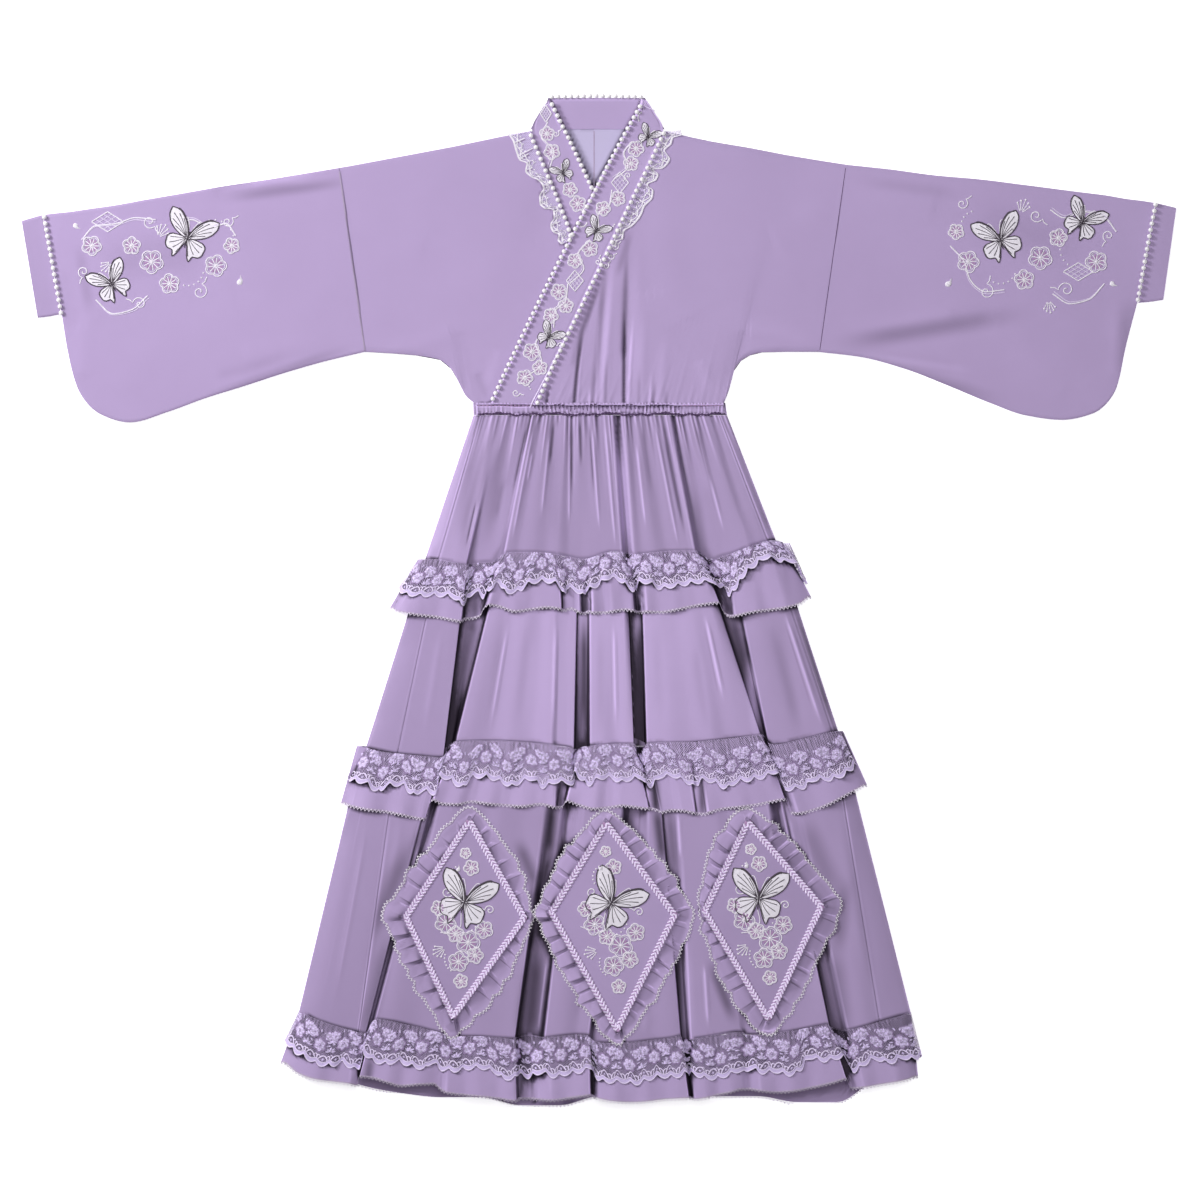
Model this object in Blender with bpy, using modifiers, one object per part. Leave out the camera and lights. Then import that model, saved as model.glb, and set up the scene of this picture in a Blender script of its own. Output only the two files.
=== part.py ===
"""Tiered crossed-collar dress laid flat: every cut-and-sewn piece is one thin closed solid.

The garment lies on z = 0 with its front up (+Z) and its neck toward +Y. Outlines are drafted on a
sheet of units (UNIT metres each, x to the right, y down) and heights are in millimetres.
"""
import math

import bpy
import numpy as np
from mathutils import Vector
from mathutils.bvhtree import BVHTree

NAME = "tiered_dress"
UNIT = 0.00125  # metres in one drafting unit
MID_X, MID_Y = 599.0, 601.5  # the drafting point that lies on the origin
MM = 0.001
T_SATIN = 1.2  # wall of single cloth, mm
T_BAND = 1.6  # wall of doubled bands and cuffs, mm
SEAM = 0.4  # space left between pieces at a seam, mm
SEAM_Y = 0.8  # space left along a crosswise seam, drafting units
FLOOR = T_SATIN / 2  # middle of a sheet that lies on the floor, mm
LAYER_2 = FLOOR + T_SATIN + SEAM  # middle of the second sheet from the floor, mm
LAYER_3 = LAYER_2 + T_SATIN + SEAM  # middle of the third sheet from the floor, mm
EDGE_IN = 2.6  # how far the rounded side fold reaches in, mm

LILAC = (0.436, 0.331, 0.566, 1.0)
LILAC_DEEP = (0.366, 0.266, 0.490, 1.0)
LACE = (0.560, 0.450, 0.700, 1.0)

# Shoulder, waist and underarm lines of the two fronts: x, y
SHOULDER_L = [(531, 131), (500, 137), (452, 147), (404, 156), (356, 165), (339, 168)]
SHOULDER_R = [(664, 131), (690, 137), (714, 142), (750, 148), (786, 155), (822, 161), (848, 165)]
UNDERARM_L = [(474, 403), (466, 396), (462, 389), (457, 379), (451, 369), (440, 360), (416, 355.5),
              (392, 353.5), (365, 352)]
UNDERARM_R = [(724, 403), (729, 390), (734, 371), (741, 361), (750, 355.5), (762, 352.5),
              (786, 352), (818, 352)]
NECK_BACK = [(531, 131), (545, 129), (594, 128.5), (650, 129), (664, 131)]
CENTRE_BACK = 594
# Gathers of the over front at the waist: x, height above the panel
GATHERS = [(535, -0.2), (549, 0.7), (557, -0.3), (566, 1.2), (574, -0.3), (582, 1.2), (592, -0.3),
           (601, 1.1), (611, -0.3), (618, 1.2), (622, -0.3), (630, 1.0), (645, -0.2), (664, 0.5),
           (690, 0)]

# Stations along each sleeve from the armhole to the cuff: top x, top y, bottom x, bottom y
SLEEVE_L = [(339, 168, 365, 352), (300, 174.5, 325, 361.5), (260, 181, 285, 373),
            (220, 187, 245, 386), (180, 194, 205, 398.5), (145, 200, 168, 412),
            (115, 205.5, 130, 422.5), (90, 209, 100, 414), (70, 212, 79, 391),
            (55, 213.5, 68, 352), (43, 215, 62, 314)]
SLEEVE_R = [(848, 165, 818, 352), (890, 169.5, 860, 357), (935, 175.5, 905, 369),
            (980, 179.5, 950, 386.5), (1020, 184.5, 990, 403), (1055, 189, 1026, 415.5),
            (1082, 192.5, 1062, 420), (1106, 195.5, 1094, 413), (1126, 199, 1115, 391),
            (1142, 201, 1126, 345), (1155, 203, 1137, 303)]
CUFF_L = [(41.9, 215.2, 60.8, 314.2), (32, 218, 50, 316.5), (22, 221, 38, 318)]
CUFF_R = [(1156.1, 203.2, 1138.1, 303), (1166, 205.5, 1150, 302), (1176, 208, 1163, 300)]

# Collar bands from the neck down: inner x, inner y, outer x, outer y, height of the middle
BAND_UNDER = [(549.5, 98.5, 546, 103.5, 2.9), (553, 104, 540, 112, 3.1), (560, 119, 532, 129, 3.4),
              (570, 139, 541, 156, 3.4), (582, 164, 555, 190, 3.4), (594, 190, 567.6, 222, 3.4),
              (601, 205, 578, 248, 3.4)]
BAND_OVER = [(641, 99, 647, 101, 2.9), (640, 105, 654, 112, 3.6), (633, 119, 663, 129, 5.0),
             (622, 139, 653.1, 154, 5.5), (608, 164, 638.9, 184, 5.5), (594, 190, 623.2, 217, 5.5),
             (579, 221, 605.7, 254, 5.5), (561, 258, 588.1, 291, 5.5), (543, 295, 570.6, 328, 5.5),
             (525, 332, 553.5, 364, 5.5), (506, 372, 544, 384, 5.5), (491, 403, 535, 403, 5.5)]
FRILL_UNDER = [(530.4, 131.5), (571, 232)]
FRILL_OVER = [(664.8, 131.5), (607, 252)]
FRILL_WIDE = 14
FRILL_WAVES = 5

# Fold lines of tier 1, left to right: top x, top height, hem x, hem y, hem height
TIER_1 = [(473.5, 0, 425, 560, 0), (480, 4.6, 438, 561, 9.5), (487, 3.6, 447, 562, 11),
          (493, 6.0, 457, 563, 12.5), (499, 3.8, 466, 564, 13), (505, 5.5, 468, 564, 8),
          (512, 3.8, 482, 563, 6.5), (520, 6.2, 494, 563, 7), (530, 3.6, 500, 559, 8.5),
          (534, 6.5, 505, 554, 13.5), (541, 3.8, 518, 553, 12), (549, 6.0, 532, 553, 14),
          (556, 3.8, 546, 554, 12.5), (563, 6.2, 557, 555, 14.5), (571, 3.8, 570, 558, 12),
          (578, 6.0, 581, 560, 11.5), (584, 3.8, 592, 559, 13), (591, 6.2, 601, 555.5, 13.5),
          (597, 3.8, 610, 553, 14.5), (611, 6.8, 621, 553, 15), (617, 2.6, 627, 553.5, 8.5),
          (623, 6.5, 634, 555, 13), (629, 4.0, 642, 555, 12), (637, 6.2, 655, 553.5, 14),
          (645, 3.8, 667, 552, 12.5), (653, 6.2, 679, 552, 14.5), (660, 4.4, 687, 551.7, 14.5),
          (668, 6.8, 694, 552, 16), (674, 2.8, 701, 555, 8), (681, 3.2, 712, 560.5, 6),
          (689, 5.8, 722, 557, 7), (697, 3.8, 734, 554, 10), (704, 6.0, 747, 548, 13),
          (712, 3.8, 757, 545, 11), (719, 4.6, 768, 542, 9.5), (727, 0, 776, 541, 0)]
SEAMS_1 = (1, -2)  # the fold lines that carry the side seams

# Fold lines of tier 2: top x, hem x, hem y, hem height (its top follows tier 1)
TIER_2 = [(425, 366, 748, 0), (438, 397.5, 753.5, 13), (452, 420, 755.5, 15), (462, 437, 757, 17),
          (466.5, 443.5, 757, 18), (467.5, 444, 756, 7.5), (481, 450, 751, 7), (498, 453.5, 744, 9),
          (503, 456.5, 742, 17), (510, 466, 741.5, 19), (521, 490, 741, 16.5), (533, 510, 741.5, 19),
          (545, 532, 743, 17), (556, 551, 745, 19.5), (560, 556, 745.5, 16.5), (568, 566, 746.5, 16.5),
          (577, 573.5, 748, 17.5), (578.5, 575, 749, 9.5), (588, 587.5, 749, 9),
          (590.5, 590.5, 748, 17.5), (600, 602, 745.5, 19.5), (612, 616, 744, 17.5),
          (621, 628, 744, 20), (626, 633.5, 744.5, 20), (627.5, 634.5, 746, 6),
          (639.5, 645, 746, 5.5), (642, 647, 744, 17), (655, 665, 743, 19), (670, 690, 742.5, 17),
          (684, 712, 740.5, 19.5), (690, 727, 739, 17), (696, 744, 737, 19.5), (701, 760, 735, 20.5),
          (704, 761.5, 737, 8), (713, 763.5, 739, 7.5), (727, 765.5, 741, 7.5), (731, 769, 745, 15), (742, 787, 743.5, 17),
          (753, 806, 739, 15.5), (762, 824, 734, 15), (768, 832, 732, 10.5), (776, 838, 731, 0)]
SEAMS_2 = (1, -2)

# Fold lines of tier 3: top x, hem x, hem y, hem height (its top follows tier 2)
TIER_3 = [(362, 299, 1012, 0), (374, 318, 1019.5, 13), (385, 340, 1026.5, 16.5),
          (397.5, 359, 1031, 17), (418, 362.5, 1032, 17), (436, 366, 1032, 17),
          (438.5, 367.5, 1030, 8.5), (443, 371.5, 1023, 9), (447, 376, 1018.5, 18.5),
          (455, 390, 1020, 20), (468, 418, 1026.5, 17.5), (482, 440, 1032, 19),
          (494, 455, 1035.5, 16.5), (508, 478, 1036, 19), (528, 502, 1037.5, 20),
          (552, 514.5, 1038, 21), (563, 516.5, 1037, 9), (569, 529, 1035, 7.5),
          (575, 541, 1036.5, 10), (579, 545, 1037, 18), (592, 562, 1035, 20), (607, 577, 1034, 18),
          (621, 588, 1034.5, 20), (629, 592, 1039.5, 13), (637, 600, 1042, 16),
          (643, 626, 1042, 20), (648, 652, 1039.5, 18.5), (652, 672, 1037, 21),
          (654.5, 680, 1035, 20.5), (657, 682, 1038, 9), (668, 687, 1039, 9), (678, 691, 1038.5, 17),
          (692, 712, 1035.5, 19), (708, 738, 1031, 17), (722, 746, 1034, 13), (740, 766, 1034, 18),
          (757, 797, 1029.5, 20), (764, 818, 1025, 21), (768.5, 828, 1023.5, 21),
          (772, 830, 1026.5, 10), (779, 842, 1030, 9.5), (788, 848, 1029.5, 15),
          (806, 864, 1025.5, 17), (832, 879, 1021, 14), (840, 911, 1014, 0)]
SEAMS_3 = (3, -2)

# Fold lines of the satin ruffles: top x, top y, hem x, hem y, hem height
RUFFLE_1 = [(418, 560, 390, 608, 0), (428, 560, 397, 611, 11), (438, 560.5, 415, 614, 17),
            (450, 562.5, 436, 616.5, 14), (460, 564, 452, 619.5, 18), (466.5, 565, 461, 621, 18.5),
            (469, 565, 464, 619, 9.5), (481, 563.5, 473, 618, 8.5), (494, 563, 481, 615, 11),
            (500, 558.5, 484, 609, 17), (504, 555, 489, 604.5, 20), (512, 553.5, 499, 606, 17),
            (523, 553.5, 515, 611, 20), (536, 553.5, 531, 609, 17), (548, 554, 548, 607, 20),
            (557, 555.5, 561, 609, 21), (563, 557, 563.5, 610.5, 12.5), (570, 558, 571, 608.5, 13),
            (577, 559.5, 579.5, 612, 17), (582, 560.5, 584, 613.5, 12), (587, 560, 589, 611.5, 12),
            (592, 558.5, 593, 612.5, 19), (600, 555.5, 603, 612.5, 16), (610, 553.5, 613, 611, 20),
            (620, 553, 624, 609.5, 18), (628, 554, 634, 610.5, 21), (632.5, 555.5, 637, 612, 10.5),
            (638, 556, 641, 612, 14), (645, 554.5, 647, 611.5, 19), (657, 553, 660, 612, 16.5),
            (670, 552, 676, 609.5, 20), (683, 551.5, 695, 605.5, 18.5), (694, 552, 712, 603, 21.5),
            (700, 554, 718.5, 602.5, 21), (705, 557.5, 720.5, 607, 11.5),
            (713, 561, 726, 614.5, 9), (723, 557.5, 731, 616, 12), (729, 556, 735, 615.5, 18),
            (741, 552.5, 753, 611.5, 20), (753, 547, 769, 609.5, 17), (764, 543, 784, 607.5, 19),
            (774, 541.5, 800, 603, 12), (782.5, 542, 811, 597, 0)]
LACE_1 = dict(edges=((414, 559.5, 396.5, 590), (786.5, 541.5, 808, 583)), share=0.64, rise=3.5)

RUFFLE_2 = [(357, 746, 341, 803, 0), (369, 749, 353, 806, 14), (381, 752, 369, 809, 20),
            (395, 754, 386, 811, 16.5), (410, 755.5, 402, 814, 21), (425, 756.5, 415, 817, 18),
            (437, 757.5, 421, 818, 19), (442, 757.5, 425, 818.5, 18),
            (450, 747.5, 430.5, 803, 14), (457, 742.5, 434, 799, 21), (465, 742, 443, 803, 19),
            (476, 741.5, 457, 803.5, 22), (488, 741.5, 472, 801, 18.5), (501, 741.5, 489, 803, 22),
            (514, 742, 505, 804.5, 19), (528, 743, 522, 805.5, 22), (542, 744.5, 540, 803.5, 20),
            (556, 746, 555, 806.5, 22.5), (567, 748, 558, 807, 14), (575, 749.5, 563, 806, 14),
            (580, 749.5, 567, 800, 21), (590, 747.5, 578, 804, 19), (601, 745.5, 594, 808, 22),
            (611, 745, 608, 807, 18.5), (622, 744.5, 622, 805, 22), (634, 745, 648, 808, 22),
            (637, 747, 651.5, 808, 11), (644, 747.5, 658, 810, 11), (648, 745, 661.5, 811.5, 20),
            (660, 743.5, 672, 809.5, 18.5), (672, 743, 683, 810, 22), (684, 743, 694.5, 812.5, 22),
            (689, 743, 697.5, 813, 14), (694, 742.5, 704, 813.5, 14), (699, 742.5, 708.5, 812, 21),
            (711, 741.5, 723, 808, 19), (725, 740, 741, 806, 22), (741, 737.5, 759, 803.5, 19),
            (754, 736, 775, 800, 22.5), (761.5, 735.5, 784, 798.5, 23), (766, 739, 787, 805, 12),
            (771, 745, 791, 812.5, 14), (778, 745, 798, 812.5, 20), (792, 742.5, 814, 809, 17),
            (807, 739, 831, 802, 20), (822, 735, 847, 793.5, 17), (832, 732.5, 857, 788.5, 13),
            (843, 731, 867, 785, 0)]
LACE_2 = dict(edges=((353.5, 745.5, 343.5, 780), (847.5, 730.5, 861, 767)), share=0.60, rise=3.5)

RUFFLE_3 = [(299, 1012.4, 281, 1062, 0), (318, 1019.9, 299, 1072.5, 15),
            (331, 1024.1, 316, 1078, 19), (344, 1028, 333, 1080.5, 16.5),
            (357, 1031.2, 349, 1082.5, 18), (366, 1032.4, 357, 1084.5, 13),
            (370, 1027, 359.5, 1080, 13), (376, 1018.9, 360.5, 1075, 21.5),
            (388, 1020.2, 373, 1076.5, 19), (400, 1022.7, 387, 1080.5, 22),
            (412, 1025.4, 402, 1084.5, 18.5), (426, 1028.8, 418, 1083, 21.5),
            (437, 1031.6, 434, 1082.5, 18), (444, 1033.4, 440, 1087, 17),
            (452, 1035.2, 447, 1091, 21.5), (466, 1036.1, 464, 1093.5, 19), (480, 1036.5, 480, 1095, 22),
            (496, 1037.5, 498, 1097, 19.5), (510, 1038.2, 511, 1099, 22),
            (514.5, 1038.4, 516, 1099.5, 22), (517, 1037.4, 519, 1098, 11),
            (529, 1035.4, 531, 1098, 10.5), (541, 1036.9, 540, 1098.5, 17),
            (550, 1036.8, 552, 1099, 21.5), (563, 1035.4, 567, 1097, 19),
            (577, 1034.4, 580, 1095, 22), (588, 1034.9, 589.5, 1094, 22),
            (592.5, 1040, 593, 1095.5, 14), (601, 1042.4, 601, 1098, 18),
            (613, 1042.6, 615, 1100, 22), (627, 1042.4, 631, 1101, 19),
            (642, 1041, 647, 1100, 22), (657, 1039.4, 664, 1098, 19),
            (672, 1037.4, 680, 1097, 22), (680, 1035.6, 688, 1096.5, 22),
            (682.5, 1038.6, 690.5, 1097, 11.5), (688, 1039.4, 695, 1098, 18),
            (699, 1037.8, 705, 1096.5, 21), (712, 1035.9, 718, 1093.5, 17.5),
            (726, 1033.4, 731, 1090.5, 21), (738, 1031.5, 741, 1088, 18),
            (746, 1034.4, 749, 1088, 14.5), (758, 1035, 761, 1089.5, 20.5),
            (773, 1033.4, 776, 1091, 17.5), (788, 1031.2, 793, 1089.5, 21),
            (803, 1028.6, 810, 1086.5, 18), (818, 1025.5, 829, 1082, 22),
            (828, 1023.9, 845, 1077.5, 22.5), (830.5, 1027, 848, 1084, 13),
            (842, 1030.4, 852, 1087.5, 13), (852, 1029, 864, 1086, 19), (867, 1025, 879, 1083.5, 16),
            (882, 1020.6, 894, 1081, 18), (898, 1017, 907, 1078.5, 13), (911, 1014.4, 918, 1076, 0)]
LACE_3 = dict(edges=((294.5, 1011, 281.5, 1043), (915.5, 1012.5, 923, 1057)), share=0.62, rise=3.5,
              up=1.4)

# Back of the skirt: how deep each tier and ruffle hangs at the back, as its top y and hem y
BACK_1, BACK_2, BACK_3 = (416.2, 556), (557, 746), (747, 1034)
BACK_R1, BACK_R2, BACK_R3 = (557.6, 613), (747.6, 806), (1035, 1096)
BACK_L1, BACK_L2, BACK_L3 = (557.6, 590), (747.6, 782), (1035, 1068)
# Places where the back hem hangs lower than the front hem: x from, x to, y
BACK_DIPS = [(398, 424, 1093), (438, 478, 1097), (508, 556, 1105), (768, 842, 1102)]

# Appliqued diamonds: top, right, bottom and left corners, then the frill's width at each corner
DIAMONDS = {
    "1": ((470, 817), (528, 917), (453, 1019), (403, 916), (13, 6, 16, 20)),
    "2": ((606, 819), (678, 914), (617, 1032), (548, 911), (12, 17, 13, 12)),
    "3": ((747, 818), (824, 905), (768, 1021), (701, 910), (13, 18, 15, 4)),
}
DIAMOND_FRILL = 19  # width of the frill along the middle of a side
DIAMOND_WAVES = 12


def at(x, y, z):
    """A drafting point and a height in millimetres as metres."""
    return ((x - MID_X) * UNIT, (MID_Y - y) * UNIT, z * MM)


def along(line, shares):
    """Points at the given shares of a polyline's length."""
    line = np.asarray(line, float)
    run = np.concatenate([[0], np.cumsum(np.hypot(*np.diff(line[:, :2], axis=0).T))])
    return np.stack([np.interp(np.asarray(shares) * run[-1], run, line[:, k])
                     for k in range(line.shape[1])], axis=1)


def soft(t):
    """Smooth step from 0 to 1."""
    t = min(max(t, 0.0), 1.0)
    return t * t * (3 - 2 * t)


def material(name, colour, rough):
    mat = bpy.data.materials.get(name) or bpy.data.materials.new(name)
    mat.use_nodes = True
    shader = mat.node_tree.nodes["Principled BSDF"]
    shader.inputs["Base Color"].default_value = colour
    shader.inputs["Roughness"].default_value = rough
    return mat


def cloth(name, grid, wall=T_SATIN, closed=False, mat="satin"):
    """A thin closed solid about the middle sheet grid[row][column], which may close on itself."""
    grid = np.asarray(grid, float)
    rows, cols = grid.shape[:2]
    wrap = cols if closed else cols - 1
    points = grid.reshape(-1, 3)
    faces = []
    for r in range(rows - 1):
        for c in range(wrap):
            n = (c + 1) % cols
            a, b, d, e = r * cols + c, (r + 1) * cols + c, (r + 1) * cols + n, r * cols + n
            if np.linalg.norm(points[a] - points[d]) < np.linalg.norm(points[b] - points[e]):
                faces += [(a, b, d), (a, d, e)]
            else:
                faces += [(a, b, e), (b, d, e)]
    mesh = bpy.data.meshes.new(name)
    mesh.from_pydata([tuple(p) for p in points], [], faces)
    mesh.update()
    piece = bpy.data.objects.new(name, mesh)
    bpy.data.collections[NAME].objects.link(piece)
    piece.data.materials.append(bpy.data.materials[mat])
    thick = piece.modifiers.new("wall", "SOLIDIFY")
    thick.thickness = wall * MM
    thick.offset = 0
    thick.use_even_offset = True
    thick.use_quality_normals = True
    return piece


def tree_of(piece):
    bpy.context.view_layer.update()
    return BVHTree.FromObject(piece, bpy.context.evaluated_depsgraph_get())


PROBE = [(0.0, 0.0)] + [(f * math.cos(a), f * math.sin(a)) for f in (0.55, 0.97)
                        for a in (0, 0.7854, 1.5708, 2.3562, 3.1416, 3.927, 4.7124, 5.4978)]


def clear_height(trees, x, y, reach):
    """Lowest height for the middle of a sheet that stays reach away from the pieces below it."""
    best = -1.0
    for px, py in PROBE:
        spot = Vector((x + px * reach, y + py * reach, 0.4))
        lift = reach * math.sqrt(max(0.0, 1 - px * px - py * py))
        for tree in trees:
            hit = tree.ray_cast(spot, Vector((0, 0, -1)))[0]
            if hit is not None:
                best = max(best, hit.z + lift)
    return best


SPOTS = [(i / 5, j / 4) for i in range(6) for j in range(5)]


def seat(grid, below, cols, wall=T_SATIN, closed=False):
    """Lifts the named columns of a grid until they lie on the pieces below."""
    trees = [tree_of(bpy.data.objects[n]) for n in below]
    reach = (wall / 2 + SEAM + 0.2) * MM
    rows = grid.shape[0]
    cols = list(cols)
    for c in cols:
        for r in range(rows):
            x, y, z = grid[r, c]
            grid[r, c, 2] = max(z, clear_height(trees, x, y, reach))
    for _ in range(4):
        for a, b in zip(cols[:-1], cols[1:]):
            for r in range(rows - 1):
                quad = [(r, a), (r, b), (r + 1, a), (r + 1, b)]
                for s, t in SPOTS:
                    for w in ((max(0, 1 - s - t), min(s, 1 - t), min(t, 1 - s), max(0, s + t - 1)),
                              (min(1 - s, 1 - t), max(0, s - t), max(0, t - s), min(s, t))):
                        p = sum(k * grid[q] for k, q in zip(w, quad))
                        short = clear_height(trees, p[0], p[1], reach) - p[2]
                        if short > 0:
                            for k, q in zip(w, quad):
                                if k > 0:
                                    grid[q][2] += short
    return grid


def skirt_ring(front, shares, back, back_z, n_back=9, dips=()):
    """Middle sheet of a tube pressed flat, whose front follows fold lines.

    front: rows of top x, y, z and hem x, y, z, edge to edge; back: its top y and hem y;
    back_z: height of the back at each share. Returns the grid and the columns of the front.
    """
    front = np.asarray(front, float)
    rows = []
    for k, s in enumerate(shares):
        line = front[:, :3] * (1 - s) + front[:, 3:] * s
        left, right = line[0].copy(), line[-1].copy()
        zb = back_z[k]
        inset = EDGE_IN * MM / UNIT
        rim = zb + 3.2
        side_l = [at(left[0], left[1], zb + 1.6), at(left[0] + inset, left[1], rim)]
        side_r = [at(right[0] - inset, right[1], rim), at(right[0], right[1], zb + 1.6)]
        mid = [at(*p) for p in line[1:-1]]
        yb = back[0] * (1 - s) + back[1] * s
        rear = []
        for q in np.linspace(0, 1, n_back):
            x = (right[0] - inset) * (1 - q) + (left[0] + inset) * q
            end = soft(min(q, 1 - q) * 5)
            edge_y = right[1] if q < 0.5 else left[1]
            y = edge_y * (1 - end) + yb * end
            if s == 1.0:
                for x0, x1, dip in dips:
                    if x0 - 4 < x < x1 + 4:
                        y = dip
            rear.append(at(x, y, zb))
        rows.append(side_l + mid + side_r + rear)
    grid = np.array(rows)
    return grid, list(range(1, len(front) + 1))


def split_ring(name, grid, first, last):
    """Cuts a ring at two seams and makes the front and the back panel."""
    cols = grid.shape[1]
    gap = SEAM / 2 * MM

    def panel(indices):
        part = grid[:, indices].copy()
        for end, nxt in ((0, 1), (-1, -2)):
            step = part[:, nxt] - part[:, end]
            part[:, end] += step / np.linalg.norm(step, axis=1)[:, None] * gap
        return part

    cloth(name + "_front", panel(list(range(first, last + 1))))
    cloth(name + "_back", panel([c % cols for c in range(last, first + cols + 1)]))


def height_on(grid, cols, row, x):
    """Height in millimetres of one row of a grid at a drafting x."""
    xs = grid[row, cols, 0] / UNIT + MID_X
    return float(np.interp(x, xs, grid[row, cols, 2] / MM))


def below_seam(seam, x):
    """The top of a tier at a drafting x, just clear of the hem of the tier above."""
    return SEAM_Y + max(float(np.interp(x + d, seam[:, 0], seam[:, 1])) for d in (-2.5, 0, 2.5))


def make_skirt():
    tier1 = [(a, 416.2, z, b, y, h) for a, z, b, y, h in TIER_1]
    shares1 = [0, 0.2, 0.45, 0.83, 1]
    g1, c1 = skirt_ring(tier1, shares1, BACK_1, [FLOOR, FLOOR, FLOOR, FLOOR, LAYER_3], 17)
    split_ring("tier_1", g1, c1[0] + SEAMS_1[0], c1[-1] + SEAMS_1[1] + 1)

    seam1 = np.array([(b, y) for _, _, b, y, _ in TIER_1])
    tier2 = []
    for a, b, y, h in TIER_2:
        tier2.append((a, below_seam(seam1, a),
                      height_on(g1, c1, -1, a), b, y, h))
    shares2 = [0, 0.31, 0.46, 0.84, 1]
    g2, c2 = skirt_ring(tier2, shares2, BACK_2, [LAYER_3, LAYER_3, FLOOR, FLOOR, LAYER_3], 17)
    split_ring("tier_2", g2, c2[0] + SEAMS_2[0], c2[-1] + SEAMS_2[1] + 1)

    seam2 = np.array([(b, y) for _, b, y, _ in TIER_2])
    tier3 = []
    for a, b, y, h in TIER_3:
        tier3.append((a, below_seam(seam2, a),
                      height_on(g2, c2, -1, a), b, y, h))
    shares3 = [0, 0.24, 0.34, 0.62, 0.9, 1]
    g3, c3 = skirt_ring(tier3, shares3, BACK_3,
                        [LAYER_3, LAYER_3, FLOOR, FLOOR, FLOOR, LAYER_2], 17)
    split_ring("tier_3", g3, c3[0] + SEAMS_3[0], c3[-1] + SEAMS_3[1] + 1)

    ruffle = []
    for a, ya, b, yb, h in RUFFLE_3:
        ruffle.append((a, ya + SEAM_Y, height_on(g3, c3, -1, a), b, yb, h))
    g, _ = skirt_ring(ruffle, [0, 0.6, 1], BACK_R3, [LAYER_2] * 3, 17, BACK_DIPS)
    cloth("ruffle_3", g, closed=True)
    make_lace("3", RUFFLE_3, LACE_3, ["tier_3_front", "tier_3_back", "ruffle_3"], BACK_L3)
    for key in "123":
        make_diamond(key)
    below = ["tier_2_front", "tier_3_front", "tier_3_back"] + [
        f"diamond_{k}{e}" for k in "123" for e in ("", "_frill")]
    make_ruffle("2", RUFFLE_2, below, BACK_R2, g2, c2)
    make_lace("2", RUFFLE_2, LACE_2, below + ["ruffle_2"], BACK_L2)
    below = ["tier_1_front", "tier_2_front", "tier_2_back"]
    make_ruffle("1", RUFFLE_1, below, BACK_R1, g1, c1)
    make_lace("1", RUFFLE_1, LACE_1, below + ["ruffle_1"], BACK_L1)


def settle(grid, below, cols):
    """Lays the front of a ring on the pieces below and evens out its side folds."""
    seat(grid, below, cols)
    last = cols[-1] + 1
    for side, rim, rear in ((0, cols[0], -1), (last, cols[-1], last + 1)):
        grid[:, side, 2] = (grid[:, rim, 2] + grid[:, rear, 2]) / 2


def make_ruffle(key, table, below, back, grid_above, cols_above):
    lines = [(a, ya + SEAM_Y, height_on(grid_above, cols_above, -1, a) + 1.6, b, yb, h)
             for a, ya, b, yb, h in table]
    g, cols = skirt_ring(lines, [0, 0.6, 1], back, [LAYER_2] * 3)
    settle(g, below, cols)
    cloth("ruffle_" + key, g, closed=True)


def make_lace(key, table, lace, below, back):
    share, rise, up = lace["share"], lace["rise"], lace.get("up", 0.0)
    lines = []
    for a, ya, b, yb, h in table[1:-1]:
        lines.append((a, ya - up, 0, a + (b - a) * share, ya + (yb - ya) * share, h * 0.9 + rise))
    (la, lya, lb, lyb), (ra, rya, rb, ryb) = lace["edges"]
    lines = [(la, lya, 0, lb, lyb, 0)] + lines + [(ra, rya, 0, rb, ryb, 0)]
    g, cols = skirt_ring(lines, [0, 1], back, [FLOOR, FLOOR])
    settle(g, below, cols)
    cloth("lace_" + key, g, closed=True, mat="lace")


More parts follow.
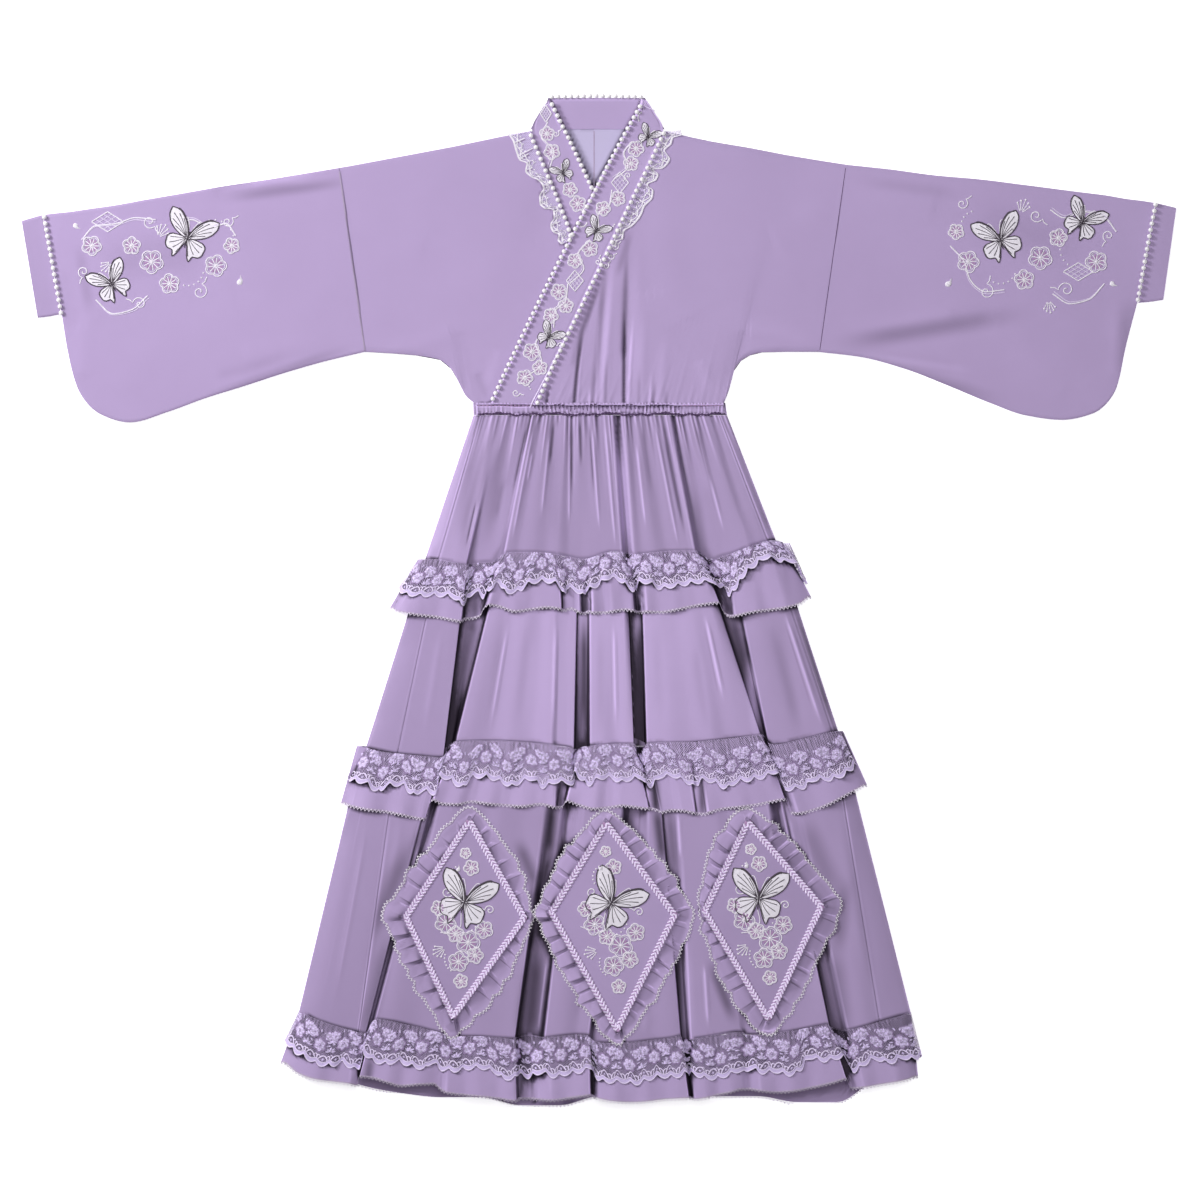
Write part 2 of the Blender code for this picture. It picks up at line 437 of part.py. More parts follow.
def make_diamond(key):
    top, right, bottom, left, widths = DIAMONDS[key]
    corners = [np.array(p, float) for p in (top, right, bottom, left)]
    n = 6
    grid = np.zeros((n, n, 3))
    for i in range(n):
        for j in range(n):
            u, v = i / (n - 1), j / (n - 1)
            p = (corners[0] * (1 - u) * (1 - v) + corners[1] * u * (1 - v)
                 + corners[2] * u * v + corners[3] * (1 - u) * v)
            grid[i, j] = at(p[0], p[1], 0)
    below = ["tier_3_front", "ruffle_3", "lace_3"]
    trees = [tree_of(bpy.data.objects[b]) for b in below]
    reach = (T_SATIN / 2 + SEAM) * MM
    need, spots = [], []
    for i in range(0, 25):
        for j in range(0, 25):
            u, v = i / 24, j / 24
            p = (corners[0] * (1 - u) * (1 - v) + corners[1] * u * (1 - v)
                 + corners[2] * u * v + corners[3] * (1 - u) * v)
            x, y, _ = at(p[0], p[1], 0)
            need.append(clear_height(trees, x, y, reach))
            spots.append((x, y, 1.0))
    spots, need = np.array(spots), np.array(need)
    plane = np.linalg.lstsq(spots, need, rcond=None)[0]
    plane[2] += float(np.max(need - spots @ plane))
    for i in range(n):
        for j in range(n):
            x, y, _ = grid[i, j]
            crown = 1.2 * math.sin(math.pi * i / (n - 1)) * math.sin(math.pi * j / (n - 1))
            grid[i, j, 2] = plane @ np.array([x, y, 1.0]) + crown * MM
    cloth("diamond_" + key, grid)

    per_side = DIAMOND_WAVES  # four columns a wave, a quarter of the waves a side
    ring = []
    centre = sum(corners) / 4
    for side in range(4):
        a, b = corners[side], corners[(side + 1) % 4]
        edge = (b - a) / np.linalg.norm(b - a)
        out = np.array([edge[1], -edge[0]])
        if out @ (a + b - 2 * centre) < 0:
            out = -out
        prev = corners[side - 1]
        nxt = corners[(side + 2) % 4]
        for k in range(per_side):
            f = k / per_side
            p = a * (1 - f) + b * f
            fan_a = (a - prev) / np.linalg.norm(a - prev) - edge
            fan_b = edge + (b - nxt) / np.linalg.norm(b - nxt)
            turn = out + max(0, 1 - f / 0.3) ** 2 * fan_a * 0.9 + max(0, 1 - (1 - f) / 0.3) ** 2 * fan_b
            if k == 0:
                turn = fan_a
            turn = turn / np.linalg.norm(turn)
            w0, w1 = widths[side], widths[(side + 1) % 4]
            wide = (w0 * (1 - f) + w1 * f) + (DIAMOND_FRILL - (w0 + w1) / 2) * math.sin(math.pi * f)
            ring.append((p, turn, wide, (side * per_side + k) % 4))
    rows = [[], [], []]
    for p, turn, wide, phase in ring:
        wave = (1.0, 0.45, 0.0, 0.45)[phase]
        x, y, _ = at(p[0], p[1], 0)
        base = float(plane @ np.array([x, y, 1.0])) / MM
        gap = 0.55 * MM / UNIT
        for row, share in zip(rows, (0.0, 0.5, 1.0)):
            q = p + turn * (gap + share * (wide + wave * 1.5))
            row.append(at(q[0], q[1], base - 0.2 + share * (wave * 5.0 - 3.5)))
    grid = np.array(rows)
    near = [f"diamond_{k}_frill" for k in "12" if k < key]
    seat(grid, below + near, list(range(grid.shape[1])) + [0])
    cloth(f"diamond_{key}_frill", grid, closed=True)


def body_panel(name, top, foot, closed_from, height, shares_v, lay=None):
    """A front or back panel between its shoulder line and its waist and underarm line.

    A column runs to each point of the foot line, and the edges past closed_from are sewn shut.
    """
    feet = np.asarray(foot, float)
    run = np.concatenate([[0], np.cumsum(np.hypot(*np.diff(feet, axis=0).T))])
    shares_u = run / run[-1]
    tops = along(top, shares_u)
    closed_from = shares_u[closed_from] + 1e-6
    rows = []
    for v in shares_v:
        row = []
        for (tx, ty), (fx, fy), u in zip(tops, feet, shares_u):
            x, y = tx * (1 - v) + fx * v, ty * (1 - v) + fy * v
            length = math.hypot(fx - tx, fy - ty) * UNIT / MM
            if lay is not None:
                row.append(at(x, y, lay))
                continue
            z = height(u, v)
            close = soft(v * length / 16)
            if u > closed_from:
                close *= soft((1 - v) * length / 16)
            low = FLOOR + T_SATIN + 0.35
            row.append(at(x, y, low + (z - low) * close))
        rows.append(row)
    return cloth(name, np.array(rows))


def make_bodice():
    shares_v = [0, 0.03, 0.08, 0.2, 0.4, 0.6, 0.8, 0.92, 0.97, 1]
    edge = 0.3  # drafting units that keep neighbouring panels apart
    waist_l = [(x, 403) for x in (640 - edge, 600, 560, 520)]
    body_panel("bodice_front_under", [(531 - edge, 131)] + SHOULDER_L[1:], waist_l + UNDERARM_L,
               len(waist_l), lambda u, v: 3.2 + 0.3 * math.sin(math.pi * u) * math.sin(math.pi * v),
               shares_v)
    waist_r = [(x + edge, 403) for x, _ in GATHERS]
    foot_r = waist_r + UNDERARM_R
    length = sum(math.dist(a, b) for a, b in zip(foot_r[:-1], foot_r[1:]))
    marks = [(x - GATHERS[0][0]) / length for x, _ in GATHERS] + [0.66, 1]
    lifts = [up for _, up in GATHERS] + [0, 0]

    def over_height(u, v):
        level = 5.8 - 2.4 * soft((u - 0.42) / 0.4)
        return level + float(np.interp(u, marks, lifts)) * soft((v - 0.3) / 0.6)

    body_panel("bodice_front_over", [(664 + edge, 131)] + SHOULDER_R[1:], foot_r, len(waist_r),
               over_height, shares_v)
    for side, centre, neck, shoulder, underarm in (
            ("left", CENTRE_BACK - 0.16, [(545, 129.4), (531, 131.4)], SHOULDER_L, UNDERARM_L),
            ("right", CENTRE_BACK + 0.16, [(650, 129.4), (664, 131.4)], SHOULDER_R, UNDERARM_R)):
        middle = (centre + underarm[0][0]) / 2
        body_panel("bodice_back_" + side, [(centre, 128.9)] + neck + shoulder[1:],
                   [(centre, 403), (middle, 403)] + underarm, -1, None, [0, 0.5, 1], FLOOR)


def flat_tube(name, table, wall, heights, mat="satin"):
    """A tube pressed flat across stations of a top and a bottom point."""
    low = wall / 2
    rows = []
    for k, (ax, ay, bx, by) in enumerate(table):
        a, b = np.array([ax, ay]), np.array([bx, by])
        length = np.linalg.norm(b - a) * UNIT / MM
        e = 2.0 / length
        row = []
        for t in (e, 0.12, 0.28, 0.46, 0.64, 0.82, 1 - e):
            p = a + (b - a) * t
            up = heights(k / (len(table) - 1), t) if e < t < 1 - e else 2.0
            row.append(at(p[0], p[1], low + wall + up))
        p = b
        row.append(at(p[0], p[1], low + (wall + 2.0) / 2))
        for t in (1 - e, 0.5, e):
            p = a + (b - a) * t
            row.append(at(p[0], p[1], low))
        row.append(at(a[0], a[1], low + (wall + 2.0) / 2))
        rows.append(row)
    return cloth(name, np.array(rows), wall, closed=True, mat=mat)


def make_sleeves():
    def puff(s, t):
        return 2.0 + 1.5 * math.sin(math.pi * t) * (1 - 0.3 * abs(2 * s - 1))

    def nudge(table, side):
        return [(ax + 0.3 * side, ay, bx + 0.3 * side, by) if k == 0 else (ax, ay, bx, by)
                for k, (ax, ay, bx, by) in enumerate(table)]

    flat_tube("sleeve_left", nudge(SLEEVE_L, -1), T_SATIN, puff)
    flat_tube("sleeve_right", nudge(SLEEVE_R, 1), T_SATIN, puff)
    flat_tube("cuff_left", CUFF_L, T_SATIN, lambda s, t: 2.2)
    flat_tube("cuff_right", CUFF_R, T_SATIN, lambda s, t: 2.2)


def band(name, table, wall):
    rows = []
    for ix, iy, ox, oy, z in table:
        rows.append([at(ix + (ox - ix) * f, iy + (oy - iy) * f, z) for f in (0.0, 0.5, 1.0)])
    return cloth(name, np.array(rows), wall)


def frill(name, line, outward, below):
    (x0, y0), (x1, y1) = line
    n = FRILL_WAVES * 4
    grid = np.zeros((3, n + 1, 3))
    for c in range(n + 1):
        f = c / n
        x, y = x0 + (x1 - x0) * f, y0 + (y1 - y0) * f
        wave = 0.5 - 0.5 * math.cos(math.pi / 2 * c)
        for r, share in enumerate((0.0, 0.45, 1.0)):
            w = share * FRILL_WIDE * (0.86 + 0.14 * wave)
            grid[r, c] = at(x + outward[0] * w, y + outward[1] * w, share * wave * 2.2)
    seat(grid, below, range(n + 1))
    grid[..., 2] += np.array([0.0, 0.5, 1.0])[:, None] * 1.6 * MM * np.array(
        [0.5 - 0.5 * math.cos(math.pi / 2 * c) for c in range(n + 1)])[None, :]
    cloth(name, grid, mat="lace")


def make_collar():
    band("collar_under", BAND_UNDER, T_BAND)
    band("collar_over", BAND_OVER, T_BAND)
    rows = []
    for y, x0, x1 in ((98, 548, 645), (106, 545.5, 649), (118, 537, 657), (128.4, 531.5, 663.5)):
        rows.append([at(x0 + (x1 - x0) * f, y, T_BAND / 2) for f in np.linspace(0, 1, 7)])
    cloth("collar_back", np.array(rows), T_BAND)
    frill("collar_frill_under", FRILL_UNDER, (-0.927, 0.375), ["bodice_front_under", "bodice_back_left"])
    frill("collar_frill_over", FRILL_OVER, (0.902, 0.432), ["bodice_front_over", "bodice_back_right"])


def make_waistband():
    front = [(473, 403.4, 0, 473.5, 415.1, 0)]
    for k in range(13):
        x = 479 + k * 20.2
        front.append((x, 403.4, 4.7, x + 0.2, 415.1, 4.7))
    front.append((725, 403.4, 0, 727, 415.1, 0))
    g, _ = skirt_ring(front, [0, 0.5, 1], (403.4, 415.1), [FLOOR] * 3, 5)
    cloth("waistband", g, closed=True)


def build():
    for piece in list(bpy.data.objects):
        bpy.data.objects.remove(piece, do_unlink=True)
    group = bpy.data.collections.get(NAME) or bpy.data.collections.new(NAME)
    if group.name not in bpy.context.scene.collection.children:
        bpy.context.scene.collection.children.link(group)
    material("satin", LILAC, 0.42)
    material("lace", LACE, 0.75)
    make_bodice()
    make_sleeves()
    make_collar()
    make_waistband()
    make_skirt()


build()
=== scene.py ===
"""Looks of the tiered crossed-collar dress laid flat on a pale floor.

Every cloth piece is a thin sheet on its solid's form. Outlines are drafted on a sheet of units
(UNIT metres each, x to the right, y down) and heights are in millimetres.
"""
import math

import bpy
import numpy as np
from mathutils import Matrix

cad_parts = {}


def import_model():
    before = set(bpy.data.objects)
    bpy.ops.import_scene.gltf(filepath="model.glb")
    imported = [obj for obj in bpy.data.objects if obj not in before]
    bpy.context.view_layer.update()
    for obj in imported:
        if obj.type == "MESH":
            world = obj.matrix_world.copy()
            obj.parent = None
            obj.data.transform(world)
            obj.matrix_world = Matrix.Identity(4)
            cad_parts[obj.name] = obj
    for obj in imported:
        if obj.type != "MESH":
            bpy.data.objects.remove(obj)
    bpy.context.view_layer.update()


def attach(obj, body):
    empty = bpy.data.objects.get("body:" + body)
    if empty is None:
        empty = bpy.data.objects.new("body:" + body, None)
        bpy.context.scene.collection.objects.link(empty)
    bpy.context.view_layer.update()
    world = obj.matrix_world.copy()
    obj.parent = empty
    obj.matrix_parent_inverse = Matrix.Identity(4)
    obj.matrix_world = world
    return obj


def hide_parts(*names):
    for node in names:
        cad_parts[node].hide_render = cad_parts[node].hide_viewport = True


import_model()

UNIT = 0.00125  # metres in one drafting unit
MM = 0.001
MM_UNITS = MM / UNIT  # drafting units in a millimetre
MID_X, MID_Y = 599.0, 601.5  # the drafting point that lies on the origin
SHEET_MID, SHEET_WIDE = 600, 1200  # middle and width of the drafting sheet
FLOOR, LAYER_2, LAYER_3 = 0.5, 2.2, 3.8  # heights of the stacked back sheets, mm
LOWEST = 0.05  # height that no trim goes below, mm
CLEAR = 0.7  # room kept between a sheet and what it lies on, mm
EDGE_IN = 2.1  # how far a rounded side fold reaches in, drafting units
EDGE_MID, EDGE_TOP = 1.6, 3.2  # heights of a side fold above the back sheet, mm
SEAM_GAP, SEAM_DIP = 0.16, 0.45  # a panel's edge at its side seam: units in, mm down
SCALLOP, SCALLOP_DEEP = 14.0, 5.0  # length and depth of the lace's scallops, drafting units
ROSE_STEP = 25.5  # one repeat of the lace's flowers, drafting units
PICOT_STEP, PICOT_DEEP = 3.8, 1.9  # picot points along a hem, drafting units
PEARL_STEP, PEARL_RADIUS = 6.3, 2.5  # drafting units
PEARL_PROUD = 0.72  # share of its radius that a pearl's middle stands off the cloth
PLEAT_STEP, PLEAT_SLIDE = 16.0, 3.4  # pleats of the diamond frills, drafting units
PLEAT_HIGH = 4.8  # mm
DIAMOND_SIDE = 115  # about the length of a diamond's side, drafting units
BRAID_IN, BRAID_WIDE = 3.6, 6.0  # braid inside a diamond's edge, drafting units
SEWN_IN = 9  # how far a bodice front rounds down to its seams, mm
LIT_UP = 0.6  # how much lighter than its plain colour a painted highlight can make cloth
WHITE, LILAC, MAUVE, DARK = range(4)  # the four threads of the embroidery
MATERIALS = {}
SHEETS = []  # every cloth piece with its drafting grid and creases, for the painted shade and highlights of its folds

# Shoulder and underarm lines of the two fronts: x, y
SHOULDER_L = [(531, 131), (500, 137), (452, 147), (404, 156), (356, 165), (339, 168)]
SHOULDER_R = [(664, 131), (690, 137), (714, 142), (750, 148), (786, 155), (822, 161), (848, 165)]
UNDERARM_L = [(474, 403), (466, 396), (462, 389), (457, 379), (451, 369), (440, 360), (416, 355.5),
              (392, 353.5), (365, 352)]
UNDERARM_R = [(724, 403), (729, 390), (734, 371), (741, 361), (750, 355.5), (762, 352.5),
              (786, 352), (818, 352)]
CENTRE_BACK = 594
WAIST_TOP, WAIST_LOW = 403.4, 415.1

# Stations along each sleeve from the armhole to the cuff: top x, top y, bottom x, bottom y
SLEEVE_L = [(339, 168, 365, 352), (300, 174.5, 325, 361.5), (260, 181, 285, 373),
            (220, 187, 245, 386), (180, 194, 205, 398.5), (145, 200, 168, 412),
            (115, 205.5, 130, 422.5), (90, 209, 100, 414), (70, 212, 79, 391),
            (55, 213.5, 68, 352), (43, 215, 62, 314)]
SLEEVE_R = [(848, 165, 818, 352), (890, 169.5, 860, 357), (935, 175.5, 905, 369),
            (980, 179.5, 950, 386.5), (1020, 184.5, 990, 403), (1055, 189, 1026, 415.5),
            (1082, 192.5, 1062, 420), (1106, 195.5, 1094, 413), (1126, 199, 1115, 391),
            (1142, 201, 1126, 345), (1155, 203, 1137, 303)]
CUFF_L = [(41.9, 215.2, 60.8, 314.2), (32, 218, 50, 316.5), (22, 221, 38, 318)]
CUFF_R = [(1156.1, 203.2, 1138.1, 303), (1166, 205.5, 1150, 302), (1176, 208, 1163, 300)]

# Collar bands from the neck down: inner x, inner y, outer x, outer y, height
BAND_UNDER = [(549.5, 98.5, 546, 103.5, 2.9), (553, 104, 540, 112, 3.1), (560, 119, 532, 129, 3.4),
              (570, 139, 541, 156, 3.4), (582, 164, 555, 190, 3.4), (594, 190, 567.6, 222, 3.4),
              (601, 205, 578, 248, 3.4)]
BAND_OVER = [(641, 99, 647, 101, 2.9), (640, 105, 654, 112, 3.6), (633, 119, 663, 129, 5.0),
             (622, 139, 653.1, 154, 5.5), (608, 164, 638.9, 184, 5.5), (594, 190, 623.2, 217, 5.5),
             (579, 221, 605.7, 254, 5.5), (561, 258, 588.1, 291, 5.5), (543, 295, 570.6, 328, 5.5),
             (525, 332, 553.5, 364, 5.5), (506, 372, 544, 384, 5.5), (491, 403, 535, 403, 5.5)]

# Fold lines of tier 1, left to right: top x, top height, hem x, hem y, hem height
TIER_1 = [(473.5, 0, 425, 560, 0), (480, 4.6, 438, 561, 9.5), (487, 3.6, 447, 562, 11),
          (493, 6.0, 457, 563, 12.5), (499, 3.8, 466, 564, 13), (505, 5.5, 468, 564, 7),
          (512, 3.8, 482, 563, 5), (520, 6.2, 494, 563, 6), (530, 3.6, 500, 559, 8.5),
          (533, 6.9, 505, 554, 14.5), (541, 3.8, 518, 553, 12.5), (549, 6.0, 532, 553, 14),
          (556, 3.8, 546, 554, 12.5), (563, 6.2, 557, 555, 14.5), (571, 3.8, 570, 558, 12),
          (578, 6.0, 581, 560, 11.5), (584, 3.8, 592, 559, 13), (591, 6.2, 601, 555.5, 13.5),
          (597, 3.8, 610, 553, 14.5), (611, 6.8, 621, 553, 15), (617, 2.0, 627, 553.5, 6.5),
          (623, 6.5, 634, 555, 13), (629, 4.0, 642, 555, 12), (637, 6.2, 655, 553.5, 14),
          (645, 3.8, 667, 552, 12.5), (653, 6.2, 679, 552, 14.5), (660, 4.4, 687, 551.7, 14.5),
          (668, 6.8, 694, 552, 16), (674, 2.4, 701, 555, 6.5), (681, 2.8, 712, 560.5, 4.5),
          (689, 5.8, 722, 557, 6), (697, 3.8, 734, 554, 10), (704, 6.0, 747, 548, 13),
          (712, 3.8, 757, 545, 11), (719, 4.6, 768, 542, 9.5), (727, 0, 776, 541, 0)]
# Fold lines of tier 2: top x, hem x, hem y, hem height (its top follows tier 1)
TIER_2 = [(425, 366, 748, 0), (438, 397.5, 753.5, 13), (452, 420, 755.5, 15), (462, 437, 757, 17),
          (466.5, 443.5, 757, 18), (467.5, 444, 756, 4.5), (481, 450, 751, 4), (498, 453.5, 744, 8),
          (503, 456.5, 742, 17), (510, 466, 741.5, 19), (521, 490, 741, 16.5), (533, 510, 741.5, 19),
          (545, 532, 743, 17), (556, 551, 745, 19.5), (560, 556, 745.5, 16.5), (568, 566, 746.5, 16.5),
          (577, 573.5, 748, 17.5), (578.5, 575, 749, 7.5), (588, 587.5, 749, 7),
          (590.5, 590.5, 748, 17.5), (600, 602, 745.5, 19.5), (612, 616, 744, 17.5),
          (621, 628, 744, 20), (626, 633.5, 744.5, 20), (627.5, 634.5, 746, 3.5),
          (639.5, 645, 746, 3.5), (642, 647, 744, 17), (655, 665, 743, 19), (670, 690, 742.5, 17),
          (684, 712, 740.5, 19.5), (690, 727, 739, 17), (696, 744, 737, 19.5), (701, 760, 735, 20.5),
          (704, 761.5, 737, 5), (713, 763.5, 739, 4), (727, 765.5, 741, 4), (731, 769, 745, 15),
          (742, 787, 743.5, 17), (753, 806, 739, 15.5), (762, 824, 734, 15), (768, 832, 732, 10.5),
          (776, 838, 731, 0)]
# Fold lines of tier 3: top x, hem x, hem y, hem height (its top follows tier 2)
TIER_3 = [(362, 299, 1012, 0), (374, 318, 1019.5, 13), (385, 340, 1026.5, 16.5),
          (397.5, 359, 1031, 17), (418, 362.5, 1032, 17), (436, 366, 1032, 17),
          (438.5, 367.5, 1030, 6.5), (443, 371.5, 1023, 7), (447, 376, 1018.5, 18.5),
          (455, 390, 1020, 20), (468, 418, 1026.5, 17.5), (482, 440, 1032, 19),
          (494, 455, 1035.5, 16.5), (508, 478, 1036, 19), (528, 502, 1037.5, 20),
          (552, 514.5, 1038, 21), (563, 516.5, 1037, 6), (569, 529, 1035, 4.5),
          (575, 541, 1036.5, 8), (579, 545, 1037, 18), (592, 562, 1035, 20), (607, 577, 1034, 18),
          (621, 588, 1034.5, 20), (629, 592, 1039.5, 13), (637, 600, 1042, 16),
          (643, 626, 1042, 20), (648, 652, 1039.5, 18.5), (652, 672, 1037, 21),
          (654.5, 680, 1035, 20.5), (657, 682, 1038, 6.5), (668, 687, 1039, 6.5),
          (678, 691, 1038.5, 17), (692, 712, 1035.5, 19), (708, 738, 1031, 17), (722, 746, 1034, 13),
          (740, 766, 1034, 18), (757, 797, 1029.5, 20), (764, 818, 1025, 21), (768.5, 828, 1023.5, 21),
          (772, 830, 1026.5, 7.5), (779, 842, 1030, 7), (788, 848, 1029.5, 15),
          (806, 864, 1025.5, 17), (832, 879, 1021, 14), (840, 911, 1014, 0)]
# The fold lines that carry the side seams, counted from each side
SEAMS = {"1": (1, -2), "2": (1, -2), "3": (3, -2)}

# Fold lines of the satin ruffles: top x, top y, hem x, hem y, hem height
RUFFLE_1 = [(418, 560, 390, 608, 0), (428, 560, 397, 611, 11), (438, 560.5, 415, 614, 17),
            (450, 562.5, 436, 616.5, 14), (460, 564, 452, 619.5, 18), (466.5, 565, 461, 621, 18.5),
            (469, 565, 464, 619, 8), (481, 563.5, 473, 618, 7), (494, 563, 481, 615, 10),
            (500, 558.5, 484, 609, 17), (504, 555, 489, 604.5, 20), (512, 553.5, 499, 606, 17),
            (523, 553.5, 515, 611, 20), (536, 553.5, 531, 609, 17), (548, 554, 548, 607, 20),
            (557, 555.5, 561, 609, 21), (563, 557, 563.5, 610.5, 11), (570, 558, 571, 608.5, 11.5),
            (577, 559.5, 579.5, 612, 17), (582, 560.5, 584, 613.5, 10), (587, 560, 589, 611.5, 10),
            (592, 558.5, 593, 612.5, 19), (600, 555.5, 603, 612.5, 16), (610, 553.5, 613, 611, 20),
            (620, 553, 624, 609.5, 18), (628, 554, 634, 610.5, 21), (632.5, 555.5, 637, 612, 9),
            (638, 556, 641, 612, 11), (645, 554.5, 647, 611.5, 19), (657, 553, 660, 612, 16.5),
            (670, 552, 676, 609.5, 20), (683, 551.5, 695, 605.5, 18.5), (694, 552, 712, 603, 21.5),
            (700, 554, 718.5, 602.5, 21), (705, 557.5, 720.5, 607, 10),
            (713, 561, 726, 614.5, 7.5), (723, 557.5, 731, 616, 11), (729, 556, 735, 615.5, 18),
            (741, 552.5, 753, 611.5, 20), (753, 547, 769, 609.5, 17), (764, 543, 784, 607.5, 19),
            (774, 541.5, 800, 603, 12), (782.5, 542, 811, 597, 0)]
RUFFLE_2 = [(357, 746, 341, 803, 0), (369, 749, 353, 806, 14), (381, 752, 369, 809, 20),
            (395, 754, 386, 811, 16.5), (410, 755.5, 402, 814, 21), (425, 756.5, 415, 817, 18),
            (437, 757.5, 421, 818, 19), (442, 757.5, 425, 818.5, 18), (445, 754, 428, 811, 10),
            (450, 747.5, 430.5, 803, 14), (457, 742.5, 434, 799, 21), (465, 742, 443, 803, 19),
            (476, 741.5, 457, 803.5, 22), (488, 741.5, 472, 801, 18.5), (501, 741.5, 489, 803, 22),
            (514, 742, 505, 804.5, 19), (528, 743, 522, 805.5, 22), (542, 744.5, 540, 803.5, 20),
            (556, 746, 555, 806.5, 22.5), (567, 748, 558, 807, 12), (575, 749.5, 563, 806, 12),
            (580, 749.5, 567, 800, 21), (590, 747.5, 578, 804, 19), (601, 745.5, 594, 808, 22),
            (611, 745, 608, 807, 18.5), (622, 744.5, 622, 805, 22), (634, 745, 648, 808, 22),
            (637, 747, 651.5, 808, 9), (644, 747.5, 658, 810, 9), (648, 745, 661.5, 811.5, 20),
            (660, 743.5, 672, 809.5, 18.5), (672, 743, 683, 810, 22), (684, 743, 694.5, 812.5, 22),
            (689, 743, 697.5, 813, 12), (694, 742.5, 704, 813.5, 12), (699, 742.5, 708.5, 812, 21),
            (711, 741.5, 723, 808, 19), (725, 740, 741, 806, 22), (741, 737.5, 759, 803.5, 19),
            (754, 736, 775, 800, 22.5), (761.5, 735.5, 784, 798.5, 23), (766, 739, 787, 805, 10),
            (771, 745, 791, 812.5, 12), (778, 745, 798, 812.5, 20), (792, 742.5, 814, 809, 17),
            (807, 739, 831, 802, 20), (822, 735, 847, 793.5, 17), (832, 732.5, 857, 788.5, 13),
            (843, 731, 867, 785, 0)]
RUFFLE_3 = [(299, 1012.4, 281, 1062, 0), (318, 1019.9, 299, 1072.5, 15),
            (331, 1024.1, 316, 1078, 19), (344, 1028, 333, 1080.5, 16.5),
            (357, 1031.2, 349, 1082.5, 18), (366, 1032.4, 357, 1084.5, 13),
            (370, 1027, 359.5, 1080, 12), (376, 1018.9, 360.5, 1075, 21.5),
            (388, 1020.2, 373, 1076.5, 19), (400, 1022.7, 387, 1080.5, 22),
            (412, 1025.4, 402, 1084.5, 18.5), (426, 1028.8, 418, 1083, 21.5),
            (437, 1031.6, 434, 1082.5, 18), (444, 1033.4, 440, 1087, 17),
            (452, 1035.2, 447, 1091, 21.5), (466, 1036.1, 464, 1093.5, 19), (480, 1036.5, 480, 1095, 22),
            (496, 1037.5, 498, 1097, 19.5), (510, 1038.2, 511, 1099, 22),
            (514.5, 1038.4, 516, 1099.5, 22), (517, 1037.4, 519, 1098, 9),
            (529, 1035.4, 531, 1098, 9), (541, 1036.9, 540, 1098.5, 17),
            (550, 1036.8, 552, 1099, 21.5), (563, 1035.4, 567, 1097, 19),
            (577, 1034.4, 580, 1095, 22), (588, 1034.9, 589.5, 1094, 22),
            (592.5, 1040, 593, 1095.5, 12), (601, 1042.4, 601, 1098, 18),
            (613, 1042.6, 615, 1100, 22), (627, 1042.4, 631, 1101, 19),
            (642, 1041, 647, 1100, 22), (657, 1039.4, 664, 1098, 19),
            (672, 1037.4, 680, 1097, 22), (680, 1035.6, 688, 1096.5, 22),
            (682.5, 1038.6, 690.5, 1097, 10), (688, 1039.4, 695, 1098, 18),
            (699, 1037.8, 705, 1096.5, 21), (712, 1035.9, 718, 1093.5, 17.5),
            (726, 1033.4, 731, 1090.5, 21), (738, 1031.5, 741, 1088, 18),
            (746, 1034.4, 749, 1088, 14.5), (758, 1035, 761, 1089.5, 20.5),
            (773, 1033.4, 776, 1091, 17.5), (788, 1031.2, 793, 1089.5, 21),
            (803, 1028.6, 810, 1086.5, 18), (818, 1025.5, 829, 1082, 22),
            (828, 1023.9, 845, 1077.5, 22.5), (830.5, 1027, 848, 1084, 11),
            (842, 1030.4, 852, 1087.5, 12), (852, 1029, 864, 1086, 19), (867, 1025, 879, 1083.5, 16),
            (882, 1020.6, 894, 1081, 18), (898, 1017, 907, 1078.5, 13), (911, 1014.4, 918, 1076, 0)]

# Fold lines of the lace ruffles: top x, top y, hem x, hem y, hem height
LACE_1 = [(418, 559, 398, 589, 0), (426, 559, 404, 593, 12), (437, 559, 421, 595, 16),
          (448, 561, 438, 595, 14), (458, 563, 452, 596, 18), (466, 564, 463, 604, 20),
          (468.5, 564, 466, 600, 11), (480, 562.5, 476, 592, 11), (492, 562, 484, 597, 12),
          (499, 557, 487, 592, 16), (503, 554, 492, 588, 21), (511, 552, 499, 582, 17),
          (517, 552, 507, 592, 21), (524, 552, 519, 591, 17), (533, 552, 529, 583, 21),
          (543, 552.5, 542, 581, 18), (552, 553.5, 555, 582, 21), (558, 554.5, 565, 594, 22),
          (563, 555.5, 566, 588, 14), (570, 556.5, 573, 589, 15), (578, 558.5, 584, 595, 17),
          (584, 559, 586, 590, 12), (590, 558, 591, 588, 20), (597, 555.5, 599, 584, 17),
          (604, 553, 606, 578, 21), (612, 551.5, 614, 578, 17), (620, 551.5, 624, 583, 21),
          (628, 552.5, 634, 591, 22), (633, 554, 636, 588, 12), (639, 554, 640, 582, 18),
          (646, 553, 648, 582, 21), (656, 552, 660, 588, 17), (666, 551, 672, 586, 21),
          (676, 550.5, 684, 584, 18), (686, 550.5, 697, 582, 22), (695, 550.5, 711, 581, 22),
          (700, 552, 717, 587, 22), (705, 556, 719, 586, 13), (713, 560, 724, 588, 11),
          (722, 556, 729, 595, 13), (728, 554.5, 735, 588, 18), (738, 551, 745, 573, 21),
          (748, 547, 757, 563, 18), (758, 543.5, 768, 557, 20), (768, 540.5, 780, 561, 16),
          (778, 541, 795, 562, 15), (790, 543, 807, 582, 0)]
